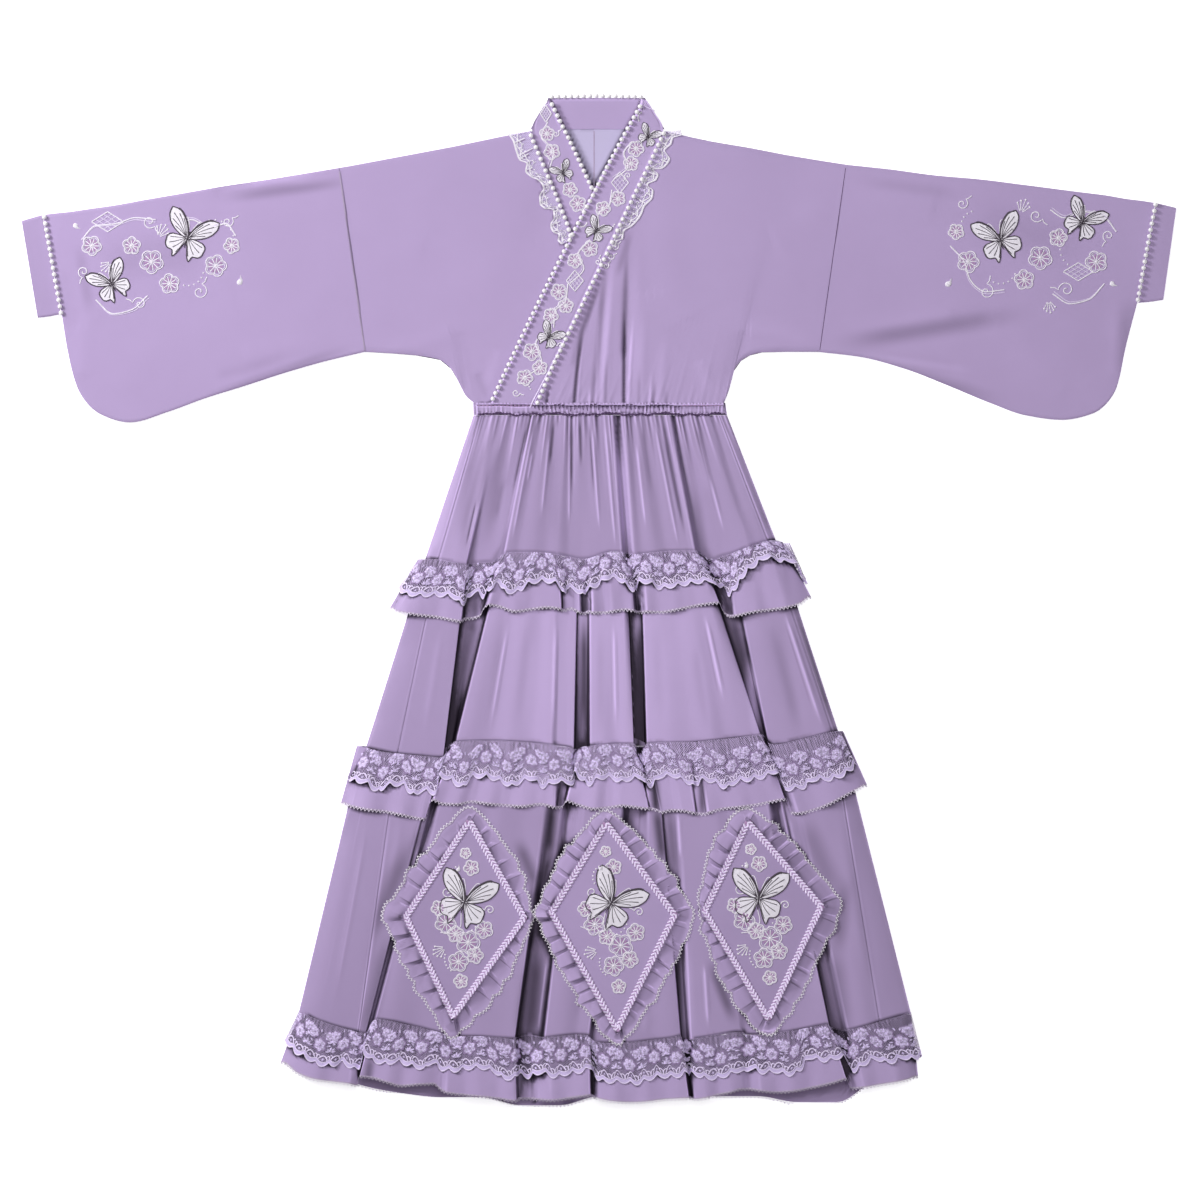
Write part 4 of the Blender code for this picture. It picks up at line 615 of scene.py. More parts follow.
def near_line(x, y, crease):
    """Points near a bent line, and how strongly it acts on them."""
    x0, y0, bend, x1, y1, width, _ = crease
    length = math.hypot(x1 - x0, y1 - y0)
    t = np.linspace(0, 1, max(25, int(2 * length / width)))
    away = 4 * bend * t * (1 - t) / length
    px = x0 + (x1 - x0) * t - (y1 - y0) * away
    py = y0 + (y1 - y0) * t + (x1 - x0) * away
    reach = 3 * width
    near = ((x > px.min() - reach) & (x < px.max() + reach)
            & (y > py.min() - reach) & (y < py.max() + reach))
    gap = (x[near][:, None] - px) ** 2 + (y[near][:, None] - py) ** 2
    best = gap.argmin(axis=1) if near.any() else np.zeros(0, int)
    fade = soft(t[best] / 0.4) * soft((1 - t[best]) / 0.1)
    return near, fade * np.exp(-gap[np.arange(len(best)), best] / width ** 2)


def on_column(grid, crease, share=1.0):
    """How strongly a crease that runs down one column of the grid acts on each of its points."""
    x0, y0, bend, x1, y1, width, _ = crease
    gap = (grid[..., 0] - (x0 + x1) / 2 - bend) ** 2 + (grid[..., 1] - (y0 + y1) / 2) ** 2
    c = int(gap.min(axis=0).argmin())
    t = (grid[:, c, 1] - y0) / (y1 - y0)
    fade = soft(t / 0.3) * soft((1 - t) / 0.35) * (t > 0) * (t < 1)
    return fade[:, None] * bell((grid[..., 0] - grid[:, c, 0][:, None]) / (width * share))


def press(grid, creases, columns=False):
    """Adds soft ridges and troughs along bent lines: x0, y0, bend, x1, y1, width, height."""
    for crease in creases:
        if columns:
            grid[..., 2] += crease[-1] * on_column(grid, crease)
        else:
            near, pull = near_line(grid[..., 0], grid[..., 1], crease)
            grid[..., 2][near] += crease[-1] * pull


def sway(grid, seed, height, wide, long):
    """Adds the slow unevenness of cloth, in patches of the given size in drafting units."""
    rng = np.random.default_rng(seed)
    total = np.zeros(grid.shape[:2])
    for _ in range(6):
        kx, ky = rng.normal(0, 1 / wide), rng.normal(0, 1 / long)
        total += np.sin(kx * grid[..., 0] + ky * grid[..., 1] + rng.uniform(0, 6.28))
    grid[..., 2] += height * total / 3


def gather(grid, pitch, reach, height, seed):
    """Adds small folds that start at the first row and die out at uneven depths."""
    rng = np.random.default_rng(seed)
    edge = grid[0]
    run = chord(edge[:, :2])
    depth = np.linalg.norm(grid[..., :2] - edge[None, :, :2], axis=2)
    spot = 0.0
    while spot < run[-1]:
        width = pitch * rng.uniform(0.25, 0.42)
        deep = reach * rng.uniform(0.35, 1.5) ** 1.4
        high = height * rng.uniform(0.5, 1.3)
        near = np.abs(run - spot) < 3 * width
        grid[:, near, 2] += high * bell((run[near] - spot) / width)[None, :] * bell(depth[:, near] / deep)
        spot += pitch * rng.uniform(0.7, 1.4)


class Look:
    """A material and short ways to build it."""

    def __init__(self, name, **shine):
        self.mat = MATERIALS[name] = bpy.data.materials.new("dress_" + name)
        self.mat.use_nodes = True
        self.tree = self.mat.node_tree
        self.shader = self.tree.nodes["Principled BSDF"]
        self.fill(self.shader, shine)
        self.where = self.add("TexCoord", "Object")

    def fill(self, made, values):
        """Sets a node's values: names with a capital are inputs, numbers or sockets to link from."""
        for key, value in values.items():
            if key[0].islower():
                setattr(made, key, value)
            elif isinstance(value, bpy.types.NodeSocket):
                self.tree.links.new(value, made.inputs[key.replace("_", " ")])
            else:
                made.inputs[key.replace("_", " ")].default_value = value

    def add(self, kind, out, **values):
        """Adds a node and gives back one of its outputs."""
        made = self.tree.nodes.new("ShaderNode" + kind)
        self.fill(made, values)
        return made.outputs[out]

    def parts(self, kind, **values):
        """Adds a node and gives back all of its outputs."""
        return self.add(kind, slice(None), **values)

    def calc(self, operation, *values):
        """Adds a sum of numbers or sockets."""
        made = self.tree.nodes.new("ShaderNodeMath")
        made.operation = operation
        for socket, value in zip(made.inputs, values):
            if isinstance(value, bpy.types.NodeSocket):
                self.tree.links.new(value, socket)
            else:
                socket.default_value = value
        return made.outputs[0]

    def scaled(self, value, low, high, start=0.0, end=1.0):
        """Takes a value from the range start to end over to the range low to high."""
        return self.add("MapRange", "Result", Value=value, From_Min=start, From_Max=end,
                        To_Min=low, To_Max=high)

    def noise(self, size, **more):
        """Adds soft random patches."""
        return self.add("TexNoise", "Fac", Vector=self.where, Scale=size, **more)

    def twill(self, size, **more):
        """Adds fine slanted lines."""
        return self.add("TexWave", "Fac", bands_direction="DIAGONAL", Vector=self.where, Scale=size, **more)

    def finish(self, colour, light, height=None, strength=0.0, distance=0.0, **settings):
        """Gives the surface its colour, times a light share, and its bump."""
        colour = self.add("VectorMath", 0, operation="SCALE", Vector=colour, Scale=light)
        self.fill(self.shader, {"Base_Color": colour})
        if height:
            self.fill(self.shader, {"Normal": self.add("Bump", "Normal", Height=height, Strength=strength,
                                                       Distance=distance, **settings)})


def fabric(name, colour, rough, weave=0.25, inside=None):
    """Cloth: colour in soft patches, darkened by painted shade in hollows and creases and lightened by
    painted highlights on sharp edges, with a woven bump.
    """
    look = Look(name, Roughness=rough, Sheen_Weight=0.08, Sheen_Roughness=0.4, Sheen_Tint=(0.8, 0.6, 1.0, 1),
                Specular_IOR_Level=0.3, Specular_Tint=(0.85, 0.65, 1.0, 1))
    light = look.scaled(look.noise(9.0, Detail=5.0), 0.94, 1.06)
    shade = look.parts("SeparateColor", Color=look.add("VertexColor", "Color", layer_name="shade"))
    # The shade attribute paints light and shade: red is painted shade by open sky, green a painted highlight,
    # blue painted shade in creases.
    for socket, low, high in zip(shade, (0.03, 1.0, 1.0), (1.0, 1 + LIT_UP, 0.4)):
        light = look.calc("MULTIPLY", light, look.scaled(socket, low, high))
    if inside:
        colour = look.add("Mix", "Result", data_type="VECTOR", A=colour, B=inside,
                          Factor=look.add("NewGeometry", "Backfacing"))
    height = look.calc("ADD", look.twill(420.0, Distortion=1.5), look.noise(120.0, Detail=6.0))
    look.finish(colour, light, height, weave, 0.0002)
    return look


def net(name, colour, pitch, cover):
    """Net: threads crossing on the slant, with holes between them, by the cloth's own length and depth."""
    look = fabric(name, colour, 0.7, 0.1)
    run, fall = look.parts("SeparateXYZ", Vector=look.add("UVMap", "UV"))[:2]
    gaps = []
    for sign in ("ADD", "SUBTRACT"):
        turn = look.calc("MULTIPLY", look.calc(sign, run, fall), math.pi / pitch)
        gaps.append(look.calc("ABSOLUTE", look.calc("SINE", turn)))
    look.fill(look.shader, {"Alpha": look.calc("LESS_THAN", look.calc("MINIMUM", *gaps), cover)})


def plain(name, colour, rough, coat=0.0, sheen=0.0, twisted=False, looped=False):
    """A small trim: thread or bead, with a fine twist or a looped, lumpy surface where asked for."""
    look = Look(name, Roughness=rough, Coat_Weight=coat, Coat_Roughness=0.08, Sheen_Weight=sheen)
    light = look.scaled(look.noise(260.0), 0.88, 1.08)
    if looped:
        loops = look.add("TexVoronoi", "Distance", Vector=look.where, Scale=420.0)
        # Darker between the lumps than on them: painted shade between the loops.
        light = look.calc("MULTIPLY", look.scaled(loops, 1.1, 0.55, 0.25, 0.8), light)
        look.finish(colour, light, loops, 0.8, 0.0006, invert=True)
    elif twisted:
        look.finish(colour, light, look.twill(600.0), 0.5, 0.0003)
    else:
        look.finish(colour, light)


def make_materials():
    """Cloth first, then trims: colour, roughness and what else sets each apart."""
    fabric("satin", (0.440, 0.335, 0.566), 0.42)
    fabric("satin_two", (0.440, 0.335, 0.566), 0.5, inside=(0.53, 0.475, 0.69))
    fabric("collar_satin", (0.455, 0.350, 0.585), 0.5)
    net("lace_net", (0.54, 0.43, 0.68), 2.4, 0.36)
    net("frill_net", (0.66, 0.56, 0.82), 2.0, 0.5)
    plain("lace_thread", (0.73, 0.60, 0.93), 0.65, sheen=0.2, looped=True)
    plain("lace_cord", (0.81, 0.69, 0.96), 0.6, sheen=0.2)
    plain("lace_band", (0.62, 0.50, 0.82), 0.7, sheen=0.2)
    plain("braid", (0.84, 0.72, 0.98), 0.6, sheen=0.2)
    plain("picot", (0.76, 0.67, 0.84), 0.6)
    plain("picot_base", (0.42, 0.33, 0.50), 0.6)
    plain("picot_hem", (0.52, 0.45, 0.58), 0.6)
    # lace_dark: painted shadow round each lace rose and beside the collar frills' fold lines, and the dark
    # rings at the roses' hearts
    plain("lace_dark", (0.30, 0.21, 0.40), 0.7)
    # seam: near black, for the right sleeve's seam line and for painted shade at the waist
    plain("seam", (0.07, 0.035, 0.10), 0.8)
    plain("pearl", (0.93, 0.90, 0.94), 0.2, coat=0.6)
    plain("thread_white", (0.90, 0.85, 0.95), 0.5, sheen=0.2, twisted=True)
    plain("thread_lilac", (0.72, 0.62, 0.84), 0.5, sheen=0.2, twisted=True)
    plain("thread_mauve", (0.45, 0.27, 0.50), 0.5, twisted=True)
    plain("thread_dark", (0.06, 0.045, 0.065), 0.5, twisted=True)


def add_mesh(name, points, faces, mats, slots=None, uv=None):
    """A smooth mesh piece of four-cornered faces that rides on the dress."""
    mesh = bpy.data.meshes.new(name)
    count, sides = faces.shape
    mesh.vertices.add(len(points))
    mesh.vertices.foreach_set("co", np.asarray(points, np.float32).ravel())
    mesh.loops.add(count * sides)
    mesh.loops.foreach_set("vertex_index", faces.astype(np.int32).ravel())
    mesh.polygons.add(count)
    mesh.polygons.foreach_set("loop_start", (np.arange(count) * sides).astype(np.int32))
    mesh.update(calc_edges=True)
    mesh.polygons.foreach_set("use_smooth", np.ones(count, bool))
    for mat in mats:
        mesh.materials.append(MATERIALS[mat])
    if slots is not None:
        mesh.polygons.foreach_set("material_index", np.asarray(slots, np.int32))
    if uv is not None:
        layer = mesh.uv_layers.new(name="cloth")
        corner = np.zeros(len(mesh.loops), np.int32)
        mesh.loops.foreach_get("vertex_index", corner)
        layer.data.foreach_set("uv", np.asarray(uv, np.float32)[corner].ravel())
    mesh.validate()
    piece = bpy.data.objects.new(name, mesh)
    bpy.context.scene.collection.objects.link(piece)
    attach(piece, "root")
    return piece


def grid_faces(rows, cols):
    """Four-cornered faces of a grid of points, row after row."""
    r, c = np.meshgrid(np.arange(rows - 1), np.arange(cols - 1), indexing="ij")
    a = (r * cols + c).ravel()
    return np.stack([a, a + cols, a + cols + 1, a + 1], axis=1)


def cloth(name, grid, mat, creases=()):
    """A sheet of cloth through a grid of drafting points; the size it is cut to is worked out but not used.
    """
    points = world(grid)
    rows, cols = grid.shape[:2]
    uv = np.stack(np.meshgrid(chord(points[rows // 2]), chord(points[:, cols // 2])), axis=-1) / MM
    piece = add_mesh(name + "_cloth", points.reshape(-1, 3), grid_faces(rows, cols), [mat],
                     uv=uv.reshape(-1, 2))
    a, b = points[1:, 1:] - points[:-1, :-1], points[1:, :-1] - points[:-1, 1:]
    area = float(np.linalg.norm(np.cross(a, b), axis=2).sum() / 2)
    width, length = (float(np.linalg.norm(np.diff(points, axis=k), axis=2).sum(axis=k).max())
                     for k in (1, 0))
    area = min(area, width * length)
    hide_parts(name)
    SHEETS.append((piece, grid, creases))


class Ring:
    """A tube of cloth pressed flat: its front follows fold lines and its back lies below.

    front: rows of top x, y, z and hem x, y, z from edge to edge; back: top y and hem y;
    back_z: height of the back down the tube, as shares and heights.
    """

    def __init__(self, front, back, back_z, rows, step, dips=()):
        front = np.asarray(front, float)
        self.n = n = len(front)
        self.shares = np.linspace(0, 1, rows)
        loops = []
        for s in self.shares:
            low = float(np.interp(s, *back_z))
            line = front[:, :3] * (1 - s) + front[:, 3:] * s
            (x0, y0, _), (x1, y1, _) = line[0], line[-1]
            mid, top = low + EDGE_MID, low + EDGE_TOP
            loops.append(np.vstack([(x0, y0, mid), (x0 + EDGE_IN, y0, top), line[1:-1],
                                    (x1 - EDGE_IN, y1, top), (x1, y1, mid),
                                    self.rear(line[0], line[-1], back, s, low, dips), (x0, y0, mid)]))
        run = chord(np.mean(loops, axis=0) * (1, 1, MM_UNITS))
        spots, marks = between(run, step, n + 2)
        self.grid = np.stack([curve(run, loop, spots) for loop in loops])
        self.marks = marks
        self.inner = self.grid[:, marks[2]:marks[n] + 1]
        self.front, self.back = self.grid[:, :marks[n + 1] + 1], self.grid[:, marks[n + 1]:]

    @staticmethod
    def rear(left, right, back, s, low, dips):
        """The back at share s down the tube, from its right edge to its left one."""
        q = np.linspace(0, 1, 17)
        x = (right[0] - EDGE_IN) * (1 - q) + (left[0] + EDGE_IN) * q
        end = soft(np.minimum(q, 1 - q) * 5)
        y = np.where(q < 0.5, right[1], left[1]) * (1 - end) + (back[0] * (1 - s) + back[1] * s) * end
        for x0, x1, dip in dips:
            y += (dip - y) * soft((s - 0.3) / 0.7) * ((x > x0 - 4) & (x < x1 + 4))
        return np.stack([x, y, np.full(len(q), low)], axis=1)

    def fold(self, k):
        """Column of the front's k-th fold line, counted as the table is, from either end."""
        return self.marks[k % self.n + 1]

    def hem(self, x):
        """Height and depth of the front's hem at a drafting x."""
        row = self.front[-1]
        order = np.maximum.accumulate(row[:, 0])
        return np.interp(x, order, row[:, 2]), np.interp(x, order, row[:, 1])


def back_creases(ring, seed, count, height):
    """Low folds pressed into a back that lies flat."""
    rng = np.random.default_rng(seed)
    run = np.linspace(0, 1, ring.back.shape[1])
    shares = ring.shares[:, None]
    for _ in range(count):
        spot, width = rng.uniform(0.04, 0.96), rng.uniform(0.004, 0.012)
        from_top = rng.random() < 0.6
        fade = soft(1 - (shares if from_top else 1 - shares) / rng.uniform(0.3, 1.1))
        ends = soft(np.minimum(run, 1 - run) / 0.03)
        ring.back[..., 2] += height * rng.uniform(0.4, 1) * fade * ends * bell((run - spot) / width)


def split_ring(key, ring, creases):
    """Front and back panels of a tier, cut at its side seams."""
    a, b = (ring.fold(k) for k in SEAMS[key])
    front = ring.grid[:, a:b + 1].copy()
    rear = np.concatenate([ring.grid[:, b:], ring.grid[:, 1:a + 1]], axis=1)
    for panel in (front, rear):
        for end, inside in ((0, 1), (-1, -2)):
            panel[:, end] += unit(panel[:, inside] - panel[:, end]) * SEAM_GAP
            panel[:, end, 2] -= SEAM_DIP
    cloth(f"tier_{key}_front", front, "satin", creases)
    cloth(f"tier_{key}_back", rear, "satin")


def make_skirt(relief):
    """The three tiers: each hangs from the hem of the one above."""
    lines = [(a, WAIST_LOW + 0.3, z, b, y, h) for a, z, b, y, h in TIER_1]
    shapes = {
        "1": (None, ([0, 0.83, 1], [FLOOR, FLOOR, LAYER_3]), 64, 1.3),
        "2": (TIER_2, ([0, 0.31, 0.46, 0.84, 1], [LAYER_3, LAYER_3, FLOOR, FLOOR, LAYER_3]), 64, 1.5),
        "3": (TIER_3, ([0, 0.24, 0.34, 0.9, 1], [LAYER_3, LAYER_3, FLOOR, FLOOR, LAYER_2]), 84, 1.5)}
    rings = {}
    for key, (table, back_z, rows, step) in shapes.items():
        if table:
            seams = [ring.hem(row[0]) for row in table]
            lines = [(a, seam + 0.3, z, b, y, h) for (a, b, y, h), (z, seam) in zip(table, seams)]
        ring = rings[key] = Ring(lines, BACK["tier_" + key], back_z, rows, step)
    for key, above, pitch, reach, height, creases in (
            ("1", "waistband", 4.6, 26, 1.1, CREASES_1), ("2", "tier_1_front", 6, 30, 0.9, CREASES_2),
            ("3", "tier_2_front", 6, 34, 0.9, CREASES_3)):
        ring = rings[key]
        gather(ring.inner, pitch, reach, height, 10 + int(key))
        if key == "1":
            gather(ring.inner, pitch=9, reach=90, height=0.8, seed=31)
        press(ring.inner, creases, True)
        sway(ring.inner, seed=20 + int(key), height=0.35, wide=14, long=70)
        back_creases(ring, seed=40 + int(key), count=26, height=1.3)
        relief.add(ring.front)
        split_ring(key, ring, creases)
    return rings


def hung(table, above, lift):
    """Fold lines of a gathered strip that starts just above the hem of the tier over it."""
    return [(a, ya, above.hem(a)[0] + lift, b, yb, h) for a, ya, b, yb, h in table]


def make_ruffle(key, table, above, relief):
    """A satin ruffle round the skirt."""
    ring = Ring(hung(table, above, 0.9), BACK["ruffle_" + key], ([0, 1], [LAYER_2, LAYER_2]), rows=22,
                step=1.3, dips=BACK_DIPS if key == "3" else ())
    gather(ring.inner, pitch=4.2, reach=16, height=0.9, seed=50 + int(key))
    sway(ring.inner, seed=60 + int(key), height=0.3, wide=6, long=30)
    if key != "3":
        lay(ring.inner, relief)
    back_creases(ring, seed=70 + int(key), count=30, height=1.0)
    relief.add(ring.front)
    cloth("ruffle_" + key, ring.grid, "satin")
    return ring.grid


def make_lace(key, table, above, relief):
    """A lace ruffle with a scalloped hem over the satin one."""
    ring = Ring(hung(table, above, 1.6), BACK["lace_" + key], ([0, 1], [FLOOR, FLOOR]), rows=16, step=1.2)
    gather(ring.inner, pitch=3.6, reach=10, height=0.7, seed=80 + int(key))
    lay(ring.inner, relief)
    count = scallop(ring.grid)
    relief.add(ring.front)
    cloth("lace_" + key, ring.grid, "lace_net")
    return ring.grid, count


def scallop(grid):
    """Cuts the hem of a grid in scallops by stretching its last rows, and counts them."""
    run = chord(grid[-1] * (1, 1, MM_UNITS))
    count = max(1, round(run[-1] / SCALLOP))
    arch = np.abs(np.sin(math.pi * count * run / run[-1])) ** 0.8
    down = unit((grid[-1] - grid[0])[:, :2])
    share = np.linspace(0, 1, grid.shape[0])[:, None, None] ** 3
    grid[..., :2] += share * (SCALLOP_DEEP * (arch - 0.5)[:, None] * down)
    return count


def body_grid(top, waist, underarm, height, rows, step):
    """A front between its shoulder line and its waist and underarm line, sewn shut at both ends."""
    waist_run, arm_run = chord(waist), chord(underarm)
    flat_spots, _ = between(waist_run, step)
    arm_spots, _ = between(arm_run, step)
    feet = np.concatenate([along(waist, flat_spots[:-1] / waist_run[-1]),
                           curve(arm_run, underarm, arm_spots)])
    run = chord(feet)
    u = run / run[-1]
    sewn = np.arange(len(feet)) >= len(flat_spots) - 1
    tops = along(top, u)
    grid = strip(np.hstack([tops, feet]), eased(rows)).swapaxes(0, 1).copy()
    v = eased(rows)[:, None]
    length = np.hypot(*(feet - tops).T)[None] / MM_UNITS
    close = rounded(v * length, SEWN_IN) * np.where(sewn[None], rounded((1 - v) * length, SEWN_IN), 1)
    low = 2.0
    grid[..., 2] = low + (height(u[None], v) - low) * close
    return grid


def make_bodice(relief):
    """The two halves of the back, the crossed fronts, their bands and frills."""
    for side, centre, neck, shoulder, arm in (
            ("left", CENTRE_BACK + 0.5, [(545, 129.4), (531, 131.4)], SHOULDER_L, UNDERARM_L),
            ("right", CENTRE_BACK - 0.3, [(650, 129.4), (664, 131.4)], SHOULDER_R, UNDERARM_R)):
        top, foot = [(centre, 128.9)] + neck + shoulder[1:], [(centre, 403)] + arm
        spots, _ = between(chord(foot), 2.4)
        u = spots / spots[-1]
        grid = strip(np.hstack([along(top, u), along(foot, u)]), np.linspace(0, 1, 70)).swapaxes(0, 1).copy()
        grid[..., 2] = FLOOR
        if side == "right":
            grid = grid[:, ::-1].copy()
            grid[..., 2] += 0.25
        relief.add(grid)
        cloth("bodice_back_" + side, grid, "satin_two")
    foot = WAIST_TOP + 0.6
    under = body_grid([(531, 131)] + SHOULDER_L[1:], [(640, foot), (474, foot)], UNDERARM_L,
                      lambda u, v: 3.9 + 0.5 * np.sin(math.pi * u) * np.sin(math.pi * v),
                      rows=110, step=2.2)
    over = body_grid([(664, 131)] + SHOULDER_R[1:], [(535, foot), (724, foot)], UNDERARM_R,
                     lambda u, v: 6.6 - 2.2 * soft((u - 0.42) / 0.4) + 0.4 * np.sin(math.pi * v),
                     rows=130, step=1.4)
    frills = {}
    for key, side, grid, creases, band, gathered in (("under", "left", under, CREASES_UNDER, BAND_UNDER, 90),
                                                     ("over", "right", over, CREASES_OVER, BAND_OVER, 140)):
        press(grid, creases)
        gather(grid[::-1, :gathered], pitch=6, reach=26, height=0.7, seed=90)
        sway(grid, seed=91, height=0.3, wide=30, long=60)
        lay(grid, relief)
        relief.add(grid)
        cloth("bodice_front_" + key, grid, "satin", creases)
        make_band(key, band, relief)
        frills[key] = make_frill(key, relief)
    return frills


def make_band(key, table, relief):
    """A padded collar band with rolled edges and a line of stitches near each."""
    lines, _, wide = stations(table, step=3)
    f = eased(19)
    grid = strip(lines, f)
    d = np.minimum(f, 1 - f)[None] * wide
    grid[..., 2] = lines[:, 4, None] + 0.2 + 1.1 * rounded(d, 2.5) - 0.45 * bell((d - 4.0) / 0.8)
    sway(grid, seed=95, height=0.15, wide=20, long=20)
    lay(grid, relief, 0.3)
    relief.add(grid)
    cloth("collar_" + key, grid, "collar_satin")


def make_frill(key, relief):
    """Gathered lace between the line it is sewn to and its own wavy edge."""
    edge, sewn = (np.asarray(line, float) for line in FRILLS[key])
    run = chord(edge)
    spots, _ = between(run, 1.1)
    outer = curve(run, edge, spots)
    way = sewn[1] - sewn[0]
    near = ((edge - sewn[0]) @ way) / (way @ way)
    place = np.clip(np.interp(spots / run[-1], run / run[-1], np.maximum.accumulate(near)), 0, 1)
    inner = sewn[0] + way * place[:, None]
    wave = np.hypot(*(outer - inner).T)
    rise = soft((wave - wave.min()) / np.ptp(wave))
    f = np.linspace(0, 1, 11)
    grid = strip(np.hstack([inner, outer]), f).swapaxes(0, 1).copy()
    grid[..., 2] = 3.2 + (2.2 * (1 - rise) + 1.0 * np.sin(spots / 1.3))[None] * f[:, None] ** 0.8
    lay(grid, relief, 0.4)
    relief.add(grid)
    cloth("collar_frill_" + key, grid, "frill_net")
    return grid


def sleeve_grid(table, high, puff, step, n_front, n_back, roll):
    """A tube pressed flat, from station to station along a sleeve or cuff, front first."""
    lines, s, length = stations(table, step)
    t, back_t = eased(n_front), eased(n_back)[-2::-1]
    grid = strip(lines, np.concatenate([t, back_t]))
    front, back = (rounded(np.minimum(f, 1 - f)[None] * length, roll) for f in (t, back_t))
    middle = (FLOOR + high) / 2
    grid[:, :n_front, 2] = (middle + (high - middle) * front
                            + puff * np.sin(math.pi * t) * (1 - 0.3 * np.abs(2 * s[:, None] - 1)))
    grid[:, n_front:, 2] = middle - (middle - FLOOR) * back
    return grid


def make_sleeves(relief):
    """Both sleeves with their cuffs."""
    for side, table, cuff, creases in (("left", SLEEVE_L, CUFF_L, CREASES_SLEEVE_L),
                                       ("right", SLEEVE_R, CUFF_R, CREASES_SLEEVE_R)):
        grid = sleeve_grid(table, high=4.4, puff=1.8, step=2.6, n_front=90, n_back=40, roll=4.0)
        press(grid[:, 1:89], creases)
        sway(grid[:, 1:89], seed=96, height=0.3, wide=40, long=50)
        relief.add(grid[:, :90])
        cloth("sleeve_" + side, grid, "satin", creases)
        grid = sleeve_grid(cuff, high=5.0, puff=0.3, step=2.0, n_front=50, n_back=20, roll=3.0)
        relief.add(grid[:, :50])
        cloth("cuff_" + side, grid, "satin")


def make_collar_back(relief):
    """The band behind the neck, rolled at its top edge."""
    rows = np.array([(548, 98, 645, 98), (545.5, 106, 649, 106), (537, 118, 657, 118),
                     (530.5, 129.2, 664.5, 129.2)], float)
    run = chord(rows[:, :2])
    grid = strip(curve(run, rows, between(run, 2)[0]), np.linspace(0, 1, 70))
    grid[..., 2] = 0.7 + 0.9 * rounded((grid[..., 1] - 98) / MM_UNITS, 3)
    sway(grid, seed=97, height=0.1, wide=20, long=10)
    relief.add(grid)
    cloth("collar_back", grid, "collar_satin")


def make_waistband(relief):
    """The ruched casing between bodice and skirt."""
    top = WAIST_TOP - 0.6
    front = [(x, top, 5.6, x + 0.2, WAIST_LOW, 5.6) for x in 477 + np.arange(25) * 10.2]
    ring = Ring([(473.2, top, 0, 473.5, WAIST_LOW, 0)] + front + [(725.2, top, 0, 727, WAIST_LOW, 0)],
                (WAIST_TOP, WAIST_LOW), ([0, 1], [FLOOR, FLOOR]), rows=16, step=1.0)
    inner, share = ring.inner, ring.shares[:, None]
    gather(inner, pitch=3.4, reach=7, height=0.7, seed=98)
    gather(inner[::-1], pitch=3.8, reach=7, height=0.7, seed=99)
    inner[..., 2] -= 1.2 * bell((share - 0.22) / 0.07) + 1.0 * bell((share - 0.97) / 0.05)
    x = inner[0, :, 0]
    inner[..., 1] += share * 0.9 * (np.sin(x / 9.0) + 0.6 * np.sin(x / 4.3 + 1))
    lay(inner, relief, 0.4)
    relief.add(ring.front)
    cloth("waistband", ring.grid, "satin")


def pleats(points, outward, wide, gap, high, rows, seed):
    """A gathered strip round a closed line: lapped pleats that ease out toward its free edge."""
    rng = np.random.default_rng(seed)
    run = chord(points[:, :2])
    knots = [0.0]
    while knots[-1] < run[-1]:
        knots.append(knots[-1] + gap * rng.uniform(0.65, 1.4))
    knots = np.array(knots) / knots[-1] * run[-1]
    k = np.clip(np.searchsorted(knots, run, side="right") - 1, 0, len(knots) - 2)
    f = (run - knots[k]) / (knots[k + 1] - knots[k])
    tall, loose, bulge, step = (rng.uniform(lo, hi, len(knots))[k]
                                for lo, hi in ((0.5, 1.3), (0.2, 1.0), (0.5, 3.6), (-1.4, 1.4)))
    lap = np.where(f < 0.2, f / 0.2, ((1 - f) / 0.8) ** 1.2) * tall
    share = np.linspace(0, 1, rows)[:, None]
    reach = share * (wide + bulge * np.sin(math.pi * f) - 1.2 + step * soft((1 - f) / 0.3))[None]
    slide = PLEAT_SLIDE * (lap * loose)[None] * share ** 2
    edge = unit(np.gradient(points[:, :2], axis=0))
    grid = np.zeros((rows, len(points), 3))
    grid[..., :2] = points[None, :, :2] + outward * reach[..., None] + edge * slide[..., None]
    ease = soft(share / 0.2) * (1 - (1 - 0.75 * loose[None]) * share)
    grid[..., 2] = points[:, 2][None] + high * lap[None] * ease
    return grid


